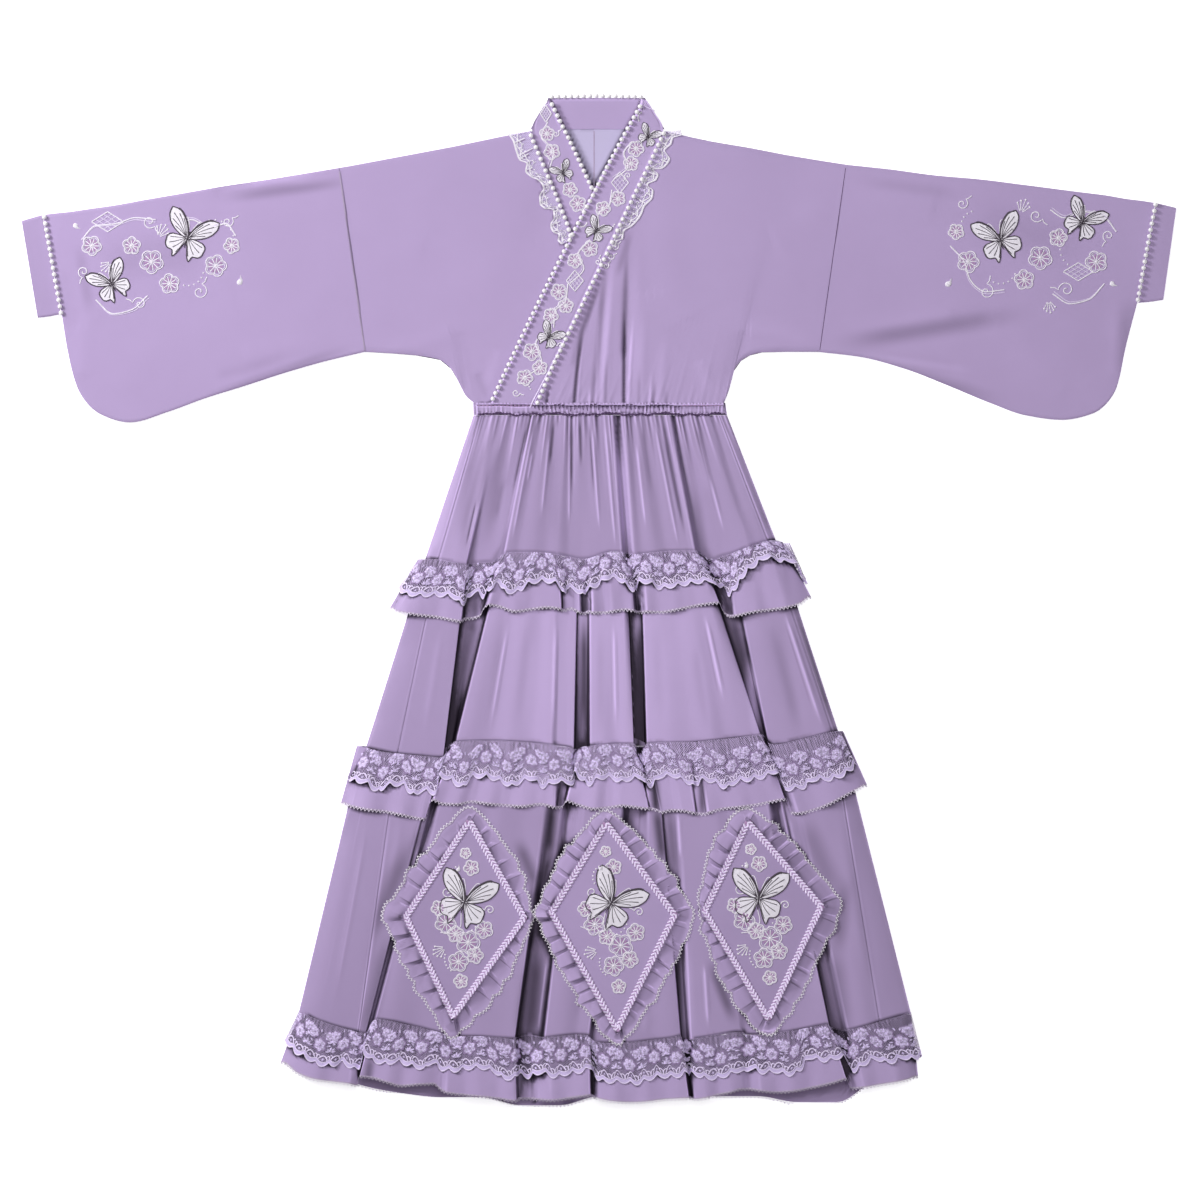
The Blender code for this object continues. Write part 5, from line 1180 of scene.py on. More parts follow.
def make_diamond(key, relief):
    """A padded diamond on the last tier with a satin frill round it."""
    *corners, widths = DIAMONDS[key]
    corners = np.array(corners, float)
    n = 46
    u, v = np.meshgrid(np.linspace(0, 1, n), np.linspace(0, 1, n), indexing="ij")
    shares = np.stack([(1 - u) * (1 - v), u * (1 - v), u * v, (1 - u) * v], axis=-1)
    grid = np.zeros((n, n, 3))
    grid[..., :2] = shares @ corners
    need = (relief.top(grid[..., 0], grid[..., 1], 3) + 0.8).ravel()
    base = np.hstack([grid[..., :2].reshape(-1, 2), np.ones((n * n, 1))])
    plane = np.linalg.lstsq(base, need, rcond=None)[0]
    plane[2] += float((need - base @ plane).max())
    rim = np.minimum.reduce([u, 1 - u, v, 1 - v]) * DIAMOND_SIDE / MM_UNITS
    grid[..., 2] = ((base @ plane).reshape(n, n) + 1.2 * np.sin(math.pi * u) * np.sin(math.pi * v)
                    + 0.8 * rounded(rim, 3) - 0.8)
    relief.add(grid)
    cloth("diamond_" + key, grid, "satin")
    points, out, wide = [], [], []
    f = np.arange(150)[:, None] / 150
    for side in range(4):
        before, a, b, after = (corners[(side + k) % 4] for k in (-1, 0, 1, 2))
        edge = unit(b - a)
        normal = np.array([edge[1], -edge[0]])
        if normal @ (a + b - corners.sum(axis=0) / 2) < 0:
            normal = -normal
        fan_a, fan_b = unit(a - before) - edge, edge + unit(b - after)
        turn = (normal + np.maximum(0, 1 - f / 0.3) ** 2 * fan_a * 0.9
                + np.maximum(0, 1 - (1 - f) / 0.3) ** 2 * fan_b)
        turn[0] = fan_a
        spots = a * (1 - f) + b * f
        points.append(np.hstack([spots, spots @ plane[:2, None] + plane[2]]))
        out.append(unit(turn))
        w0, w1 = widths[side], widths[(side + 1) % 4]
        wide.append(w0 * (1 - f) + w1 * f + (DIAMOND_FRILL - (w0 + w1) / 2) * np.sin(math.pi * f))
    points, out, wide = (np.concatenate(part + [part[0][:1]]) for part in (points, out, wide))
    points[:, :2] -= out
    points[:, 2] -= 0.6
    frill = pleats(points, out, wide[:, 0], PLEAT_STEP, PLEAT_HIGH, rows=15, seed=120 + int(key))
    frill[:, -1] = frill[:, 0]
    frill[..., 2] -= np.linspace(0, 1, 15)[:, None] ** 1.2 * 4.0
    lay(frill, relief, 0.6)
    relief.add(frill)
    cloth(f"diamond_{key}_frill", frill, "satin")
    return corners, frill


def openness(points, relief):
    """Share of the sky that each point sees past all that stands higher around it."""
    x, y, z = points.T
    total = np.zeros(len(points))
    for a in 2 * math.pi * (np.arange(10) + 0.5) / 10:
        slope = np.zeros(len(points))
        for r in (1.5, 3, 5, 8, 12, 18):
            high = relief.high[relief.index(x + r * math.cos(a), y + r * math.sin(a))]
            slope = np.maximum(slope, (high - z) / (r / MM_UNITS))
        total += 1 / np.sqrt(1 + slope ** 2)
    return total / 10


def bends(grid):
    """How sharply a sheet bends outward at each point, per millimetre; inward is below 0."""
    p = grid / (MM_UNITS, MM_UNITS, 1)
    normal = unit(np.cross(np.gradient(p, axis=1), np.gradient(p, axis=0)))
    total = np.zeros(grid.shape[:2])
    for axis in (0, 1):
        q, n, out = (np.moveaxis(part, axis, 0) for part in (p, normal, total))
        step = np.linalg.norm(np.diff(q, axis=0), axis=2)
        bow = 2 * q[1:-1] - q[:-2] - q[2:]
        out[1:-1] += (bow * n[1:-1]).sum(axis=2) / np.maximum(step[1:] * step[:-1], 0.3)
    return total


# Painted shade and highlights of the sheets: heights in mm, share of open sky, bend per mm, most that light
# places gain
DEEP_UNDER, BACK_TOP = 2.5, 4.5
SKY_DARK, SKY_RANGE = 0.78, 0.18
BEND_FROM, BEND_RANGE = 0.05, 0.3


def shadow(flat, x0, y0, x1, y1, half):
    """How strongly a painted soft shadow along a line acts on each point of a front."""
    line = np.array([x1 - x0, y1 - y0], float)
    t = np.clip((flat[:, :2] - (x0, y0)) @ line / (line @ line), 0, 1)
    away = np.hypot(*(flat[:, :2] - (x0, y0) - t[:, None] * line).T)
    return soft(1 - away / half) * soft(t / 0.35) * soft((1 - t) / 0.35) * soft(flat[:, 2] - 1.8)


def shade_sheet(name, grid, creases, relief):
    """Painted shade and highlights of each point of a sheet: painted shade by how little of the sky it sees,
    and how far painted highlights light it up and painted shade darkens it.
    """
    flat = grid.reshape(-1, 3)
    x, y, z = flat.T
    cover = relief.high[relief.index(x, y)] - z
    under = (cover > DEEP_UNDER) & (z < BACK_TOP)
    # Painted shade in hollows: darker where less sky is open; low backs under other sheets get none.
    painted_shade = np.where(under, 1.0, openness(flat, relief))
    painted_shade = soft((painted_shade - SKY_DARK) / SKY_RANGE)
    # Painted highlight where a sheet bends outward, painted shade where it bends inward, except on sleeves,
    # cuffs and bodice.
    bend = bends(grid).ravel() * (not name.startswith(("sleeve", "cuff", "bodice")))
    light, dark = (np.clip((way * bend - BEND_FROM) / BEND_RANGE, 0, 1) for way in (1, -1))
    # Less painted shade in tier 1's hollows below its top.
    if name == "tier_1_front":
        free = soft((y - 425) / 60)
        painted_shade = np.maximum(painted_shade, 0.68 * free)
        dark *= 1 - 0.6 * free
    # Painted shade on the bodice fronts goes no darker than a floor.
    if name.startswith("bodice_front"):
        painted_shade = np.maximum(painted_shade, 0.42)
    # Low back layers of the hem ruffle get less painted shade.
    if name == "ruffle_3":
        painted_shade = np.maximum(painted_shade, 0.6 * (z < 2.6))
    # Painted shade on a diamond frill near its braid and a painted highlight toward its free edge.
    if name.startswith("diamond") and name.endswith("frill"):
        outer = np.repeat(np.linspace(0, 1, grid.shape[0]), grid.shape[1])
        painted_shade *= 0.66 + 0.34 * soft(outer / 0.5)
        light += 0.3 * soft((outer - 0.6) / 0.4)
    # Weaker painted highlights on tier 2.
    if name.startswith("tier_2"):
        light *= 0.7
    # Each crease paints a highlight along a ridge and shade along a trough.
    for crease in creases:
        if name.startswith("tier"):
            pull = on_column(grid, crease, 0.7).ravel()
        else:
            near, some = near_line(x, y, crease)
            pull = np.zeros(len(flat))
            pull[near] = some
        target = light if crease[-1] > 0 else dark
        target += pull * ~under * min(1.0, abs(crease[-1]) / 1.3) / max(1, crease[5] / 2.2) ** 2
    # Painted soft shadows and painted light along the listed lines.
    for *place, level in SHADOWS.get(name, ()):
        pull = shadow(flat, *place) * ~under
        painted_shade += (min(level, 1) - painted_shade) * pull
        light += max(level - 1, 0) / LIT_UP * pull
    # Painted light and shade across whole pieces, from left to right.
    for key, (left, middle, right) in PAINTED_LIGHTNESS.items():
        if name.startswith(key):
            level = np.interp(x - MID_X, (-160, -70, 70, 160), (left, middle, middle, right))
            painted_shade *= np.minimum(level, 1)
            light += np.maximum(level - 1, 0) / LIT_UP
    # Painted shade on the satin ruffles where lace lies over them.
    if name.startswith("ruffle"):
        painted_shade[(cover > 0.45) & ~under] *= 0.5
    return painted_shade, np.clip(light, 0, 1.2), np.clip(dark, 0, 1.2)


def shade_sheets(relief):
    """Stores the painted shade and highlights of every sheet on its points, as the shade colour attribute."""
    for piece, grid, creases in SHEETS:
        parts = shade_sheet(piece.name.replace("_cloth", ""), grid, creases, relief)
        shade = np.stack([*parts, np.ones(len(parts[0]))], axis=1)
        layer = piece.data.color_attributes.new("shade", "FLOAT_COLOR", "POINT")
        layer.data.foreach_set("color", shade.astype(np.float32).ravel())


class Skin:
    """A sheet's surface by the length run along it and the distance up from its hem."""

    def __init__(self, grid, lift=0.15):
        self.grid = grid * (1, 1, MM_UNITS)
        steps = np.linalg.norm(np.diff(self.grid, axis=1), axis=2)
        self.run = np.concatenate([[0], np.cumsum(steps[-3:].mean(axis=0))])
        self.length = self.run[-1]
        drops = np.linalg.norm(np.diff(self.grid, axis=0), axis=2)
        self.fall = drops.sum(axis=0)
        self.last = drops[-1]
        normal = unit(np.cross(np.gradient(self.grid, axis=1), np.gradient(self.grid, axis=0)))
        self.normal = normal * (1 if normal[..., 2].mean() > 0 else -1)
        self.lift = lift

    def put(self, s, b, up):
        """Points at length s, distance b up from the hem and up millimetres off the surface."""
        s, b = np.broadcast_arrays(np.asarray(s, float), np.asarray(b, float))
        s = np.clip(s, 0, self.length - 1e-6)
        col = np.clip(np.searchsorted(self.run, s, side="right") - 1, 0, len(self.run) - 2)
        f = (s - self.run[col]) / (self.run[col + 1] - self.run[col])
        fall = self.fall[col] * (1 - f) + self.fall[col + 1] * f
        last = self.grid.shape[0] - 2
        past = np.maximum(-b, 0) / self.last[col]
        row = np.clip((1 - np.maximum(b, 0) / fall) * (last + 1) + past, 0, last + 9)
        r = np.minimum(row.astype(int), last)
        g = row - r
        rise = (np.asarray(up) + self.lift)[..., None] * MM_UNITS
        out = 0
        for down, right, share in ((0, 0, (1 - g) * (1 - f)), (0, 1, (1 - g) * f), (1, 0, g * (1 - f)),
                                   (1, 1, g * f)):
            at = r + down, col + right
            out = out + share[..., None] * (self.grid[at] + rise * self.normal[at])
        return out / (1, 1, MM_UNITS)


def on_top(relief):
    """Places trims on whatever lies uppermost."""
    def put(x, y, up):
        x, y = np.broadcast_arrays(np.asarray(x, float), np.asarray(y, float))
        apart = ((0, 0), (0.8, 0), (-0.8, 0), (0, 0.8), (0, -0.8))
        z = sum(relief.top(x + dx, y + dy, 1) for dx, dy in apart) / len(apart)
        return np.stack([x, y, z + 0.1 + up], axis=-1)
    return put


class Bundle:
    """Many small parts joined into one piece."""

    def __init__(self):
        self.points, self.faces, self.slots, self.count = [], [], [], 0

    def add(self, grid, slot=0):
        """Takes in a grid of drafting points, with its place in the list of materials."""
        rows, cols = grid.shape[:2]
        self.points.append(grid.reshape(-1, 3))
        self.faces.append(grid_faces(rows, cols) + self.count)
        self.slots.append(np.full(len(self.faces[-1]), slot))
        self.count += rows * cols

    def make(self, name, mats):
        """Makes the piece, and keeps all of it above the surface the dress lies on."""
        points = np.concatenate(self.points)
        points[:, 2] = np.maximum(points[:, 2], LOWEST)
        add_mesh(name, world(points), np.concatenate(self.faces), mats, np.concatenate(self.slots))


HALF_ROUND = ((-1, 0.1), (-0.75, 0.75), (0, 1), (0.75, 0.75), (1, 0.1))
FLAT_STRIP = ((-1, 0.55), (0, 1), (1, 0.55))


def ribbon(bundle, put, path, width, high, slot=0, shape=HALF_ROUND):
    """A thread or cord along a path on a surface."""
    path = np.asarray(path, float)
    side = sideways(path) * np.broadcast_to(np.asarray(width, float), len(path))[:, None] / 2
    rows = [put(*(path + side * a).T, np.full(len(path), high * h)) for a, h in shape]
    bundle.add(np.stack(rows), slot)


def flat_ribbon(bundle, put, path, width, high, slot=0):
    """The same with a flatter section."""
    ribbon(bundle, put, path, width, high, slot, FLAT_STRIP)


def blob(bundle, put, x, y, outline, high, slot=0, rings=2):
    """A raised pad inside an outline given round its root."""
    rows = [put(x + outline[:, 0] * r, y + outline[:, 1] * r,
                np.full(len(outline), high * math.sqrt(max(0, 1 - r ** 3))))
            for r in np.linspace(0.04, 1, rings + 1)]
    bundle.add(np.stack(rows), slot)


def turned(points, angle, size=1.0, flip=1):
    """Points drawn with y up, made larger, turned and mirrored where flip is -1."""
    p = np.asarray(points, float) * size * (flip, -1)
    c, s = math.cos(angle), math.sin(angle)
    return np.stack([p[:, 0] * c - p[:, 1] * s, p[:, 0] * s + p[:, 1] * c], axis=1)


def ring_outline(radius, n, petals=0, depth=0.0, turn=0.0):
    """A circle, or a ring of petals cut in by the given depth."""
    a = np.linspace(0, 2 * math.pi, n + 1)
    r = radius * (1 - depth + depth * np.abs(np.cos(petals * a / 2)))
    return turned(np.stack([r * np.cos(a), -r * np.sin(a)], axis=1), turn)


def knot(bundle, put, x, y, radius, high, n=6):
    """A small round stitch."""
    blob(bundle, put, x, y, ring_outline(radius, n), high)


def pearl_row(line, relief):
    """Round beads in a row along a line."""
    row = Bundle()
    count = max(2, round(chord(line)[-1] / PEARL_STEP))
    a = np.linspace(0, 2 * math.pi, 11)
    b = np.linspace(0.02, math.pi - 0.02, 7)
    ball = np.stack([np.outer(np.sin(b), np.cos(a)), np.outer(np.sin(b), np.sin(a)),
                     np.outer(np.cos(b), np.ones(len(a)))], axis=-1)
    for x, y in along(line, np.linspace(0, 1, count + 1)):
        z = relief.top(x, y, 2) + PEARL_RADIUS / MM_UNITS * PEARL_PROUD
        row.add(np.array([x, y, z]) + ball * PEARL_RADIUS / (1, 1, MM_UNITS))
    return row


def picot(name, grid, thread):
    """A cord along a hem with small points that jut past it."""
    skin, edge = Skin(grid), Bundle()
    n = int(skin.length / PICOT_STEP) * 2
    s = np.linspace(0, skin.length, n + 1)
    flat_ribbon(edge, skin.put, np.stack([s, np.full(n + 1, 0.7)], axis=1), 1.3, 0.4, 1)
    b = np.where(np.arange(n + 1) % 2 == 0, 0.8, -PICOT_DEEP)
    flat_ribbon(edge, skin.put, np.stack([s, b], axis=1), 1.15, 0.7)
    edge.make(name, [thread, "picot_base"])


def rose(bundle, put, x, y, r, turn):
    """A worked flower: six petals on a larger dark outline, a painted shadow round the flower, then a dark
    ring and a knot at its heart.
    """
    for share, petals, high, slot, n in ((1.16, 6, 0.3, 1, 24), (1.0, 6, 0.8, 0, 24), (0.36, 0, 1.0, 1, 8),
                                         (0.2, 0, 1.3, 0, 6)):
        depth = 0.26 if petals else 0
        blob(bundle, put, x, y, ring_outline(share * r, n, petals, depth, turn), high, slot)


LEAF = [(0.02, 0), (0.32, 0.2), (0.67, 0.2), (1.02, 0), (0.67, -0.2), (0.32, -0.2), (0.02, 0)]


def calmed(grid, reach):
    """The same sheet without its finest gathers."""
    wide = np.concatenate([grid[:, :1]] * reach + [grid] + [grid[:, -1:]] * reach, axis=1)
    return sum(wide[:, k:k + grid.shape[1]] for k in range(2 * reach + 1)) / (2 * reach + 1)


def trim_lace(key, grid, count, seed):
    """Flowers, leaf sprays, arches and cords worked on a lace ruffle all the way round."""
    skin, ground = Skin(grid), Skin(calmed(grid, 4), lift=0.55)
    put = ground.put
    rng = np.random.default_rng(seed)
    cords, flowers = Bundle(), Bundle()
    fall = float(np.median(ground.fall))
    s = np.arange(0, skin.length, 1.4)
    for b, width, high, slot in ((2.2, 3.2, 0.3, 1), (0.4, 1.2, 0.9, 0), (4.1, 0.9, 0.9, 0)):
        flat_ribbon(cords, skin.put, np.stack([s, np.full(len(s), b)], axis=1), width, high, slot)
    pitch = skin.length / count
    a = np.linspace(-1, 1, 7)
    arch = np.stack([0.34 * pitch * a, 10.4 - 5.4 * a ** 2], axis=1)
    hook = smooth_path([(0.5, 4.6), (0.46, 8.0), (0.32, 9.2), (0.2, 7.4)], 7)
    for k in range(count):
        c = (k + 0.5) * pitch
        flat_ribbon(cords, skin.put, arch + (c, 0), 1.1, 0.7)
        for side in (-1, 1):
            flat_ribbon(cords, skin.put, hook * (side * pitch, 1) + (c, 0), 1.0, 0.6)
        knot(flowers, skin.put, c, 6.6, 1.3, 0.7)
    r = min(6.9, 0.215 * fall)

    def leaf(x, b, length, angle):
        blob(flowers, put, x, b, turned(LEAF, angle, length), 0.9)

    for k in range(int(ground.length / ROSE_STEP)):
        c = (k + 0.5) * ROSE_STEP + rng.uniform(-1.5, 1.5)
        low, high = (0.48, 0.73) if k % 2 else (0.54, 0.77)
        for x, b, size in ((0, low, 1), (-1.42, high, 0.8), (1.2, high + 0.04, 0.76)):
            rose(flowers, put, c + x * r, b * fall, size * r, rng.uniform(0, 6))
        for f, g, angle in ((-1.1, -0.5, 3.6), (1.15, -0.5, -0.5), (1.15, 0.1, 0.2), (-1.15, 0.0, 2.9),
                            (-0.2, 1.7, 1.9), (0.3, 1.6, 1.1)):
            leaf(c + f * r, low * fall + g * r, 4.2, angle)
        for base, reach in ((0.34, 4.8), (0.58, 4.4), (0.8, 4.2)):
            for q in (-2, -1, 0, 1, 2):
                leaf(c + ROSE_STEP / 2 + 0.5 * q, base * fall, reach * (1.25 if q == 0 else 1.0),
                     math.pi / 2 - 0.62 * q)
    cords.make(f"lace_{key}_cords", ["lace_cord", "lace_band"])
    flowers.make(f"lace_{key}_roses", ["lace_thread", "lace_dark"])


def butterfly(threads, put, x, y, size, angle, tail=0.0):
    """A worked butterfly: pale wings, dark veins and edges."""
    large = size > 14
    for flip in (1, -1):
        for shape, veins in ((WING_UP, ((0.72, 0.9), (0.96, 0.84), (0.46, 0.76), (0.93, 0.58), (0.72, 0.32))),
                             (WING_LOW, ((0.76, -0.2), (0.72, -0.46), (0.5, -0.62), (0.3, -0.78)))):
            rim = turned(smooth_path(shape, 36, True), angle, size, flip)
            blob(threads, put, x, y, rim, 0.8, WHITE, 3)
            edge = rim + (x, y)
            ribbon(threads, put, edge, 1.2 if large else 0.6, 1.0, DARK)
            if shape is WING_UP:
                ribbon(threads, put, edge[:15], 0.08 * size, 1.1, DARK)
            for vx, vy in veins:
                root = 0.02 if vy > 0 else -0.02
                vein = turned([(0.05, root), (vx * 0.5, vy * 0.56), (vx * 0.88, vy * 0.9)], angle, size, flip)
                flat_ribbon(threads, put, smooth_path(vein + (x, y), 8), 0.8 if large else 0.5, 1.2, DARK)
        horn = turned([(0.02, 0.15), (0.12, 0.5), (0.28, 0.78), (0.36, 0.74)], angle, size, flip) + (x, y)
        flat_ribbon(threads, put, smooth_path(horn, 12), 0.8, 0.5)
    body = turned([(0, 0.26), (0, 0.0), (0, -0.42)], angle, size) + (x, y)
    widths = np.array([0.8, 1.8, 2.4, 2.4, 2.2, 1.8, 1.4, 1.0, 0.5]) * min(1, size / 18)
    ribbon(threads, put, smooth_path(body, 9), widths, 1.6, DARK)
    if tail:
        path = turned([(0, -0.4), (0.12, -0.8), (-0.1, -1.2), (-0.5, -1.3)], angle, size * tail) + (x, y)
        ribbon(threads, put, smooth_path(path, 16), 1.0, 0.7)


def bloom(threads, put, x, y, r, turn=0.0, petals=5):
    """An outlined flower: a lobed rim, mauve and pale threads inside and a pale star at its heart."""
    for share, width in ((1.0, 1.15), (0.84, 0.6)):
        ribbon(threads, put, ring_outline(share * r, 40, petals, 0.22, turn) + (x, y), width, 0.8)
    count = 4 * petals
    for k in range(count):
        a = turn + 2 * math.pi * (k + 0.5) / count
        start, tip, width, slot = (0.12, 0.74, 0.9, WHITE) if k % 2 else (0.34, 0.66, 1.7, MAUVE)
        line = [(x + q * r * math.cos(a), y + q * r * math.sin(a)) for q in (start, (start + tip) / 2, tip)]
        flat_ribbon(threads, put, line, width, 0.6, slot)
    knot(threads, put, x, y, 0.14 * r, 1.1, 8)


def curl(threads, put, x, y, r, turn=0.0):
    """A thin scroll with its tail."""
    a = np.linspace(0, 2.6 * math.pi, 26)
    rad = r * (0.12 + 0.88 * a / a[-1])
    path = np.stack([rad * np.cos(a), rad * np.sin(a)], axis=1)
    path = np.concatenate([path, path[-1:] + np.array([(0.15 * r, 0.5 * r), (0.0, 1.1 * r)])])
    ribbon(threads, put, turned(path, turn) + (x, y), 1.1, 0.7)


def scroll(threads, put, x, y, *way):
    """A long double line that wanders through the offsets given after its start."""
    path = smooth_path(np.array([(0, 0), *way], float) + (x, y), 40)
    ribbon(threads, put, path, 1.3, 0.7)
    apart = np.linspace(0.4, 2.6, len(path))[:, None]
    flat_ribbon(threads, put, path + sideways(path) * apart, 0.9, 0.5, LILAC)


def dots(threads, put, x, y, r, start, sweep=1.6):
    """Six knots along an arc."""
    for a in start + sweep * np.arange(6) / 5:
        knot(threads, put, x + r * math.cos(a), y + r * math.sin(a), 0.95, 0.8)


def rays(threads, put, x, y, r, turn):
    """Stitches that fan out and end in knots."""
    for k in range(-2, 3):
        reach = r * (1 - 0.12 * abs(k))
        c, s = reach * math.cos(turn + k * 0.3), reach * math.sin(turn + k * 0.3)
        flat_ribbon(threads, put, [(x + q * c, y + q * s) for q in (0.25, 0.6, 0.95)], 0.8, 0.6)
        knot(threads, put, x + c, y + s, 1.1, 0.9)


def trellis(threads, put, x, y, wide, high):
    """A small lozenge filled with crossing threads."""
    corners = np.array([(-wide, 0), (0, -high), (wide, 0), (0, high), (-wide, 0)], float) / 2 + (x, y)
    ribbon(threads, put, along(corners, np.linspace(0, 1, 33)), 1.2, 0.8)
    for f in (0.25, 0.5, 0.75):
        for a, b, c, d in ((0, 1, 3, 2), (0, 3, 1, 2)):
            p, q = corners[a] * (1 - f) + corners[b] * f, corners[c] * (1 - f) + corners[d] * f
            flat_ribbon(threads, put, [p, (p + q) / 2, q], 0.8, 0.6, LILAC)


def drop(threads, put, x, y, size, turn):
    """A solid worked drop with a hooked tip."""
    rim = smooth_path([(0, -0.5), (0.42, -0.2), (0.36, 0.25), (0.05, 0.6), (-0.3, 1.0), (-0.16, 0.4),
                       (-0.4, 0.0), (-0.32, -0.35)], 24, True)
    blob(threads, put, x, y, turned(rim, turn, size), 1.2, WHITE, 3)


MOTIFS = {motif.__name__: motif for motif in (butterfly, bloom, curl, scroll, dots, rays, trellis, drop)}
THREADS = ["thread_white", "thread_lilac", "thread_mauve", "thread_dark"]


def embroider(relief, diamonds):
    """Works the motifs on sleeves, collar and diamonds."""
    put = on_top(relief)
    for name, work in (("sleeve_left", SLEEVE_WORK_L), ("sleeve_right", SLEEVE_WORK_R),
                       ("collar", COLLAR_WORK)):
        sewn = Bundle()
        for kind, *sizes in work:
            MOTIFS[kind](sewn, put, *sizes)
        sewn.make(name + "_embroidery", THREADS)
    for turn, (key, (corners, _)) in zip((0.0, 0.25, -0.2), diamonds.items()):
        sewn = Bundle()
        middle = corners.sum(axis=0) / 4
        across, down = (corners[1] - corners[3]) * 0.4, (corners[2] - corners[0]) * 0.4
        for kind, a, b, size, *rest in DIAMOND_WORK:
            x, y = middle + across * a + down * b
            if kind == "bloom":
                size *= 1.2
            if kind != "dots":
                rest[0] += turn
            MOTIFS[kind](sewn, put, x, y, size, *rest)
        sewn.make(f"diamond_{key}_embroidery", THREADS)
        edge_braid(key, corners, middle, put)


def edge_braid(key, corners, middle, put):
    """A braid of slanted stitches just inside the edge of a diamond."""
    loop = corners + unit(middle - corners) * BRAID_IN
    path = along(np.vstack([loop, loop[:1]]), np.linspace(0, 1, 480))
    side = sideways(path)
    braid = Bundle()
    ribbon(braid, put, path, BRAID_WIDE, 0.5, 1)
    for k in range(0, len(path) - 4, 4):
        for way in (-1, 1):
            stitch = [path[k + n] + side[k + n] * way * out for n, out in ((0, -0.3), (2, 1.4), (4, 2.9))]
            ribbon(braid, put, stitch, [1.6, 2.5, 1.6], 1.7)
    braid.make(f"diamond_{key}_braid", ["braid", "thread_mauve"])


def make_beads(relief):
    """Pearls, collar cord, the stitches of the waist and the seams, with near-black painted shade along the
    drawn waist.
    """
    for number, line in enumerate(PEARL_LINES):
        pearl_row(line, relief).make(f"pearls_{number + 1}", ["pearl"])
    put = on_top(relief)
    cord = Bundle()
    for line, n, width, high in (([(566, 338), (549, 371), (534, 399), (530, 408)], 60, 1.3, 0.8),
                                 ([(549, 104), (541, 108)], 8, 0.7, 0.4),
                                 ([(641, 105), (655, 111)], 8, 0.7, 0.4)):
        ribbon(cord, put, along(line, np.linspace(0, 1, n)), width, high)
    cord.make("collar_cord", ["lace_cord"])
    seams = Bundle()
    # Where the waist is drawn in, its top stitches are near black and short near-black lines run down into
    # its gathers: painted shade in the gathers.
    for k in range(61):
        s = 478 + k * 4
        drawn = 530 < s < 680
        y = 405.6 + (0.8 * math.sin(s / 5.3) + 0.5 * math.sin(s / 2.9 + 1)) * drawn
        flat_ribbon(seams, put, [(s, y), (s + 1.1, y + 0.3), (s + 2.5, y - 0.2)], 1.0, 0.3, int(drawn))
        if drawn:
            foot = (s + 1 + 0.5 * math.sin(k), y + 4 + 1.4 * math.sin(1.7 * k))
            flat_ribbon(seams, put, [(s + 0.6, y), (s + 0.9, y + 2), foot], 0.8, 0.25, 1)
    # A near-black wavy line along the waistband's lower seam: the seam line and painted shade along the
    # band's edge.
    x = np.linspace(478, 721, 244)
    wave = 0.7 * np.sin(x / 9.0) + 0.5 * np.sin(x / 4.3 + 1) + 0.4 * np.sin(x / 1.9)
    flat_ribbon(seams, put, np.stack([x, 414.2 + wave], axis=1), 2.0 + 0.9 * np.sin(x * 1.9), 0.3, 1)
    y = np.linspace(131, 196, 40)
    flat_ribbon(seams, put, np.stack([np.full(len(y), CENTRE_BACK + 0.1), y], axis=1), 1.3, 0.1, 2)
    for line, width, slot in (([(339.2, 170), (365.2, 352)], 1.6, 2),
                              ([(845.7, 166.5), (836, 235), (819.4, 352)], 0.5, 1)):
        flat_ribbon(seams, put, along(line, np.linspace(0.01, 0.99, 50)), width, 0.15, slot)
    seams.make("waist_stitches", ["thread_mauve", "seam", "picot_base"])


def frill_cords(key, grid):
    """Wavy cords, knots and uneven fold lines on a collar frill, each fold line with a dark line beside it as
    a painted shadow.
    """
    skin, edge = Skin(grid), Bundle()
    s = np.arange(0, skin.length, 1.0)
    for b, width, swing in ((0.5, 2.0, 0.0), (3.4, 1.1, 0.9), (6.2, 0.8, 1.2)):
        flat_ribbon(edge, skin.put, np.stack([s, b + swing * np.sin(s / 1.9 + b)], axis=1), width, 0.7)
    for k, spot in enumerate(np.arange(2, skin.length, 2.6)):
        knot(edge, skin.put, spot, 4.8 + 1.9 * (k % 3), 0.9, 0.6)
    depth = np.linspace(0.6, 0.85, 9)
    for k, spot in enumerate(np.arange(7, skin.length - 8, 12.6)):
        spot += 3.4 * math.sin(2.3 * k)
        tall = float(np.interp(spot, skin.run, skin.fall)) * (0.6 + 0.22 * math.sin(1.7 * k))
        fold = np.stack([spot + 3.4 * np.sin(2.4 * depth + k), np.linspace(0.4, tall, 9)], axis=1)
        flat_ribbon(edge, skin.put, fold, 1.0, 0.8)
        # The dark line beside each fold line is a painted shadow.
        flat_ribbon(edge, skin.put, fold + (1.3, 0), 1.1, 0.5, 1)
    edge.make(f"collar_frill_{key}_cord", ["thread_white", "lace_dark"])


def install(name, data, spot=(0, 0, 0)):
    """Puts a lamp, a camera or the floor in the scene."""
    holder = bpy.data.objects.new(name, data)
    bpy.context.scene.collection.objects.link(holder)
    holder.location = spot
    return holder


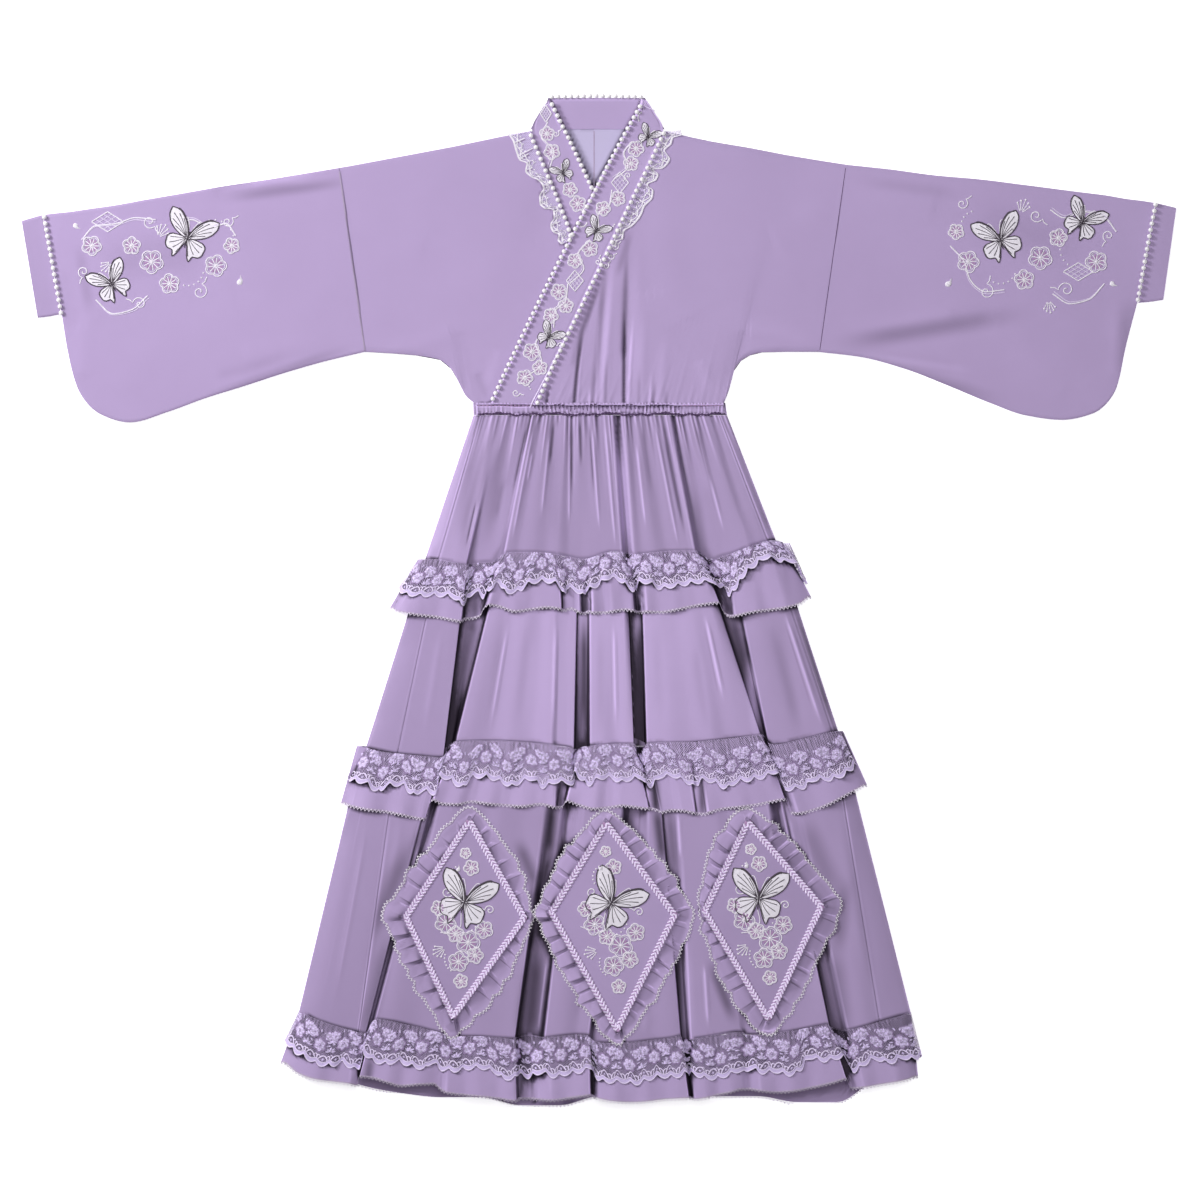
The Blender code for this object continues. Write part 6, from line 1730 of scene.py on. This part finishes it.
def lit_room():
    """Pale floor, soft lights and the camera straight above the dress."""
    floor = bpy.data.meshes.new("floor")
    reach, depth = 6.0, -0.0006
    corners = [(-reach, -reach), (reach, -reach), (reach, reach), (-reach, reach)]
    floor.from_pydata([(x, y, depth) for x, y in corners], [], [(0, 1, 2, 3)])
    mat = bpy.data.materials.new("floor")
    mat.use_nodes = True
    shader = mat.node_tree.nodes["Principled BSDF"]
    white = (1, 1, 1, 1)
    for key, value in (("Base Color", white), ("Roughness", 0.9), ("Emission Color", white),
                       ("Emission Strength", 0.55)):
        shader.inputs[key].default_value = value
    floor.materials.append(mat)
    install("floor", floor)
    sky = bpy.data.worlds.new("sky")
    bpy.context.scene.world = sky
    sky.use_nodes = True
    background = sky.node_tree.nodes["Background"]
    background.inputs["Color"].default_value = white
    background.inputs["Strength"].default_value = 0.18
    for name, spot, size, power in (("key", (-2.7, 1.6, 2.0), 0.9, 105), ("top", (0.1, 0.5, 3.6), 2.2, 48),
                                    ("side", (2.4, -1.2, 2.2), 1.6, 8)):
        lamp = bpy.data.lights.new(name, "AREA")
        lamp.size, lamp.energy = size, power
        x, y, z = spot
        install(name, lamp, spot).rotation_euler = (math.atan2(math.hypot(x, y), z), 0,
                                                  math.atan2(-y, -x) - math.pi / 2)
    camera = bpy.data.cameras.new("camera")
    high, sensor = 8.0, 36.0
    camera.sensor_width = sensor
    camera.lens = sensor * high / (SHEET_WIDE * UNIT)
    camera.clip_end = 50
    spot = ((SHEET_MID - MID_X) * UNIT, (MID_Y - SHEET_MID) * UNIT, high)
    bpy.context.scene.camera = install("camera", camera, spot)
    bpy.context.scene.view_settings.view_transform = "Standard"


make_materials()
relief = Relief()
lit_room()
rings = make_skirt(relief)
ruffles, laces = {}, {}
ruffles["3"] = make_ruffle("3", RUFFLE_3, rings["3"], relief)
laces["3"] = make_lace("3", LACE_3, rings["3"], relief)
diamonds = {key: make_diamond(key, relief) for key in DIAMONDS}
for key, ruffle, lace in (("2", RUFFLE_2, LACE_2), ("1", RUFFLE_1, LACE_1)):
    ruffles[key] = make_ruffle(key, ruffle, rings[key], relief)
    laces[key] = make_lace(key, lace, rings[key], relief)
make_collar_back(relief)
frills = make_bodice(relief)
make_sleeves(relief)
make_waistband(relief)
for key in "123":
    picot(f"ruffle_{key}_picot", ruffles[key], "picot_hem" if key == "3" else "picot")
    trim_lace(key, *laces[key], 100 + int(key))
for key, grid in frills.items():
    frill_cords(key, grid)
for key, (_, grid) in diamonds.items():
    picot(f"diamond_{key}_picot", grid, "thread_white")
embroider(relief, diamonds)
make_beads(relief)
shade_sheets(relief)
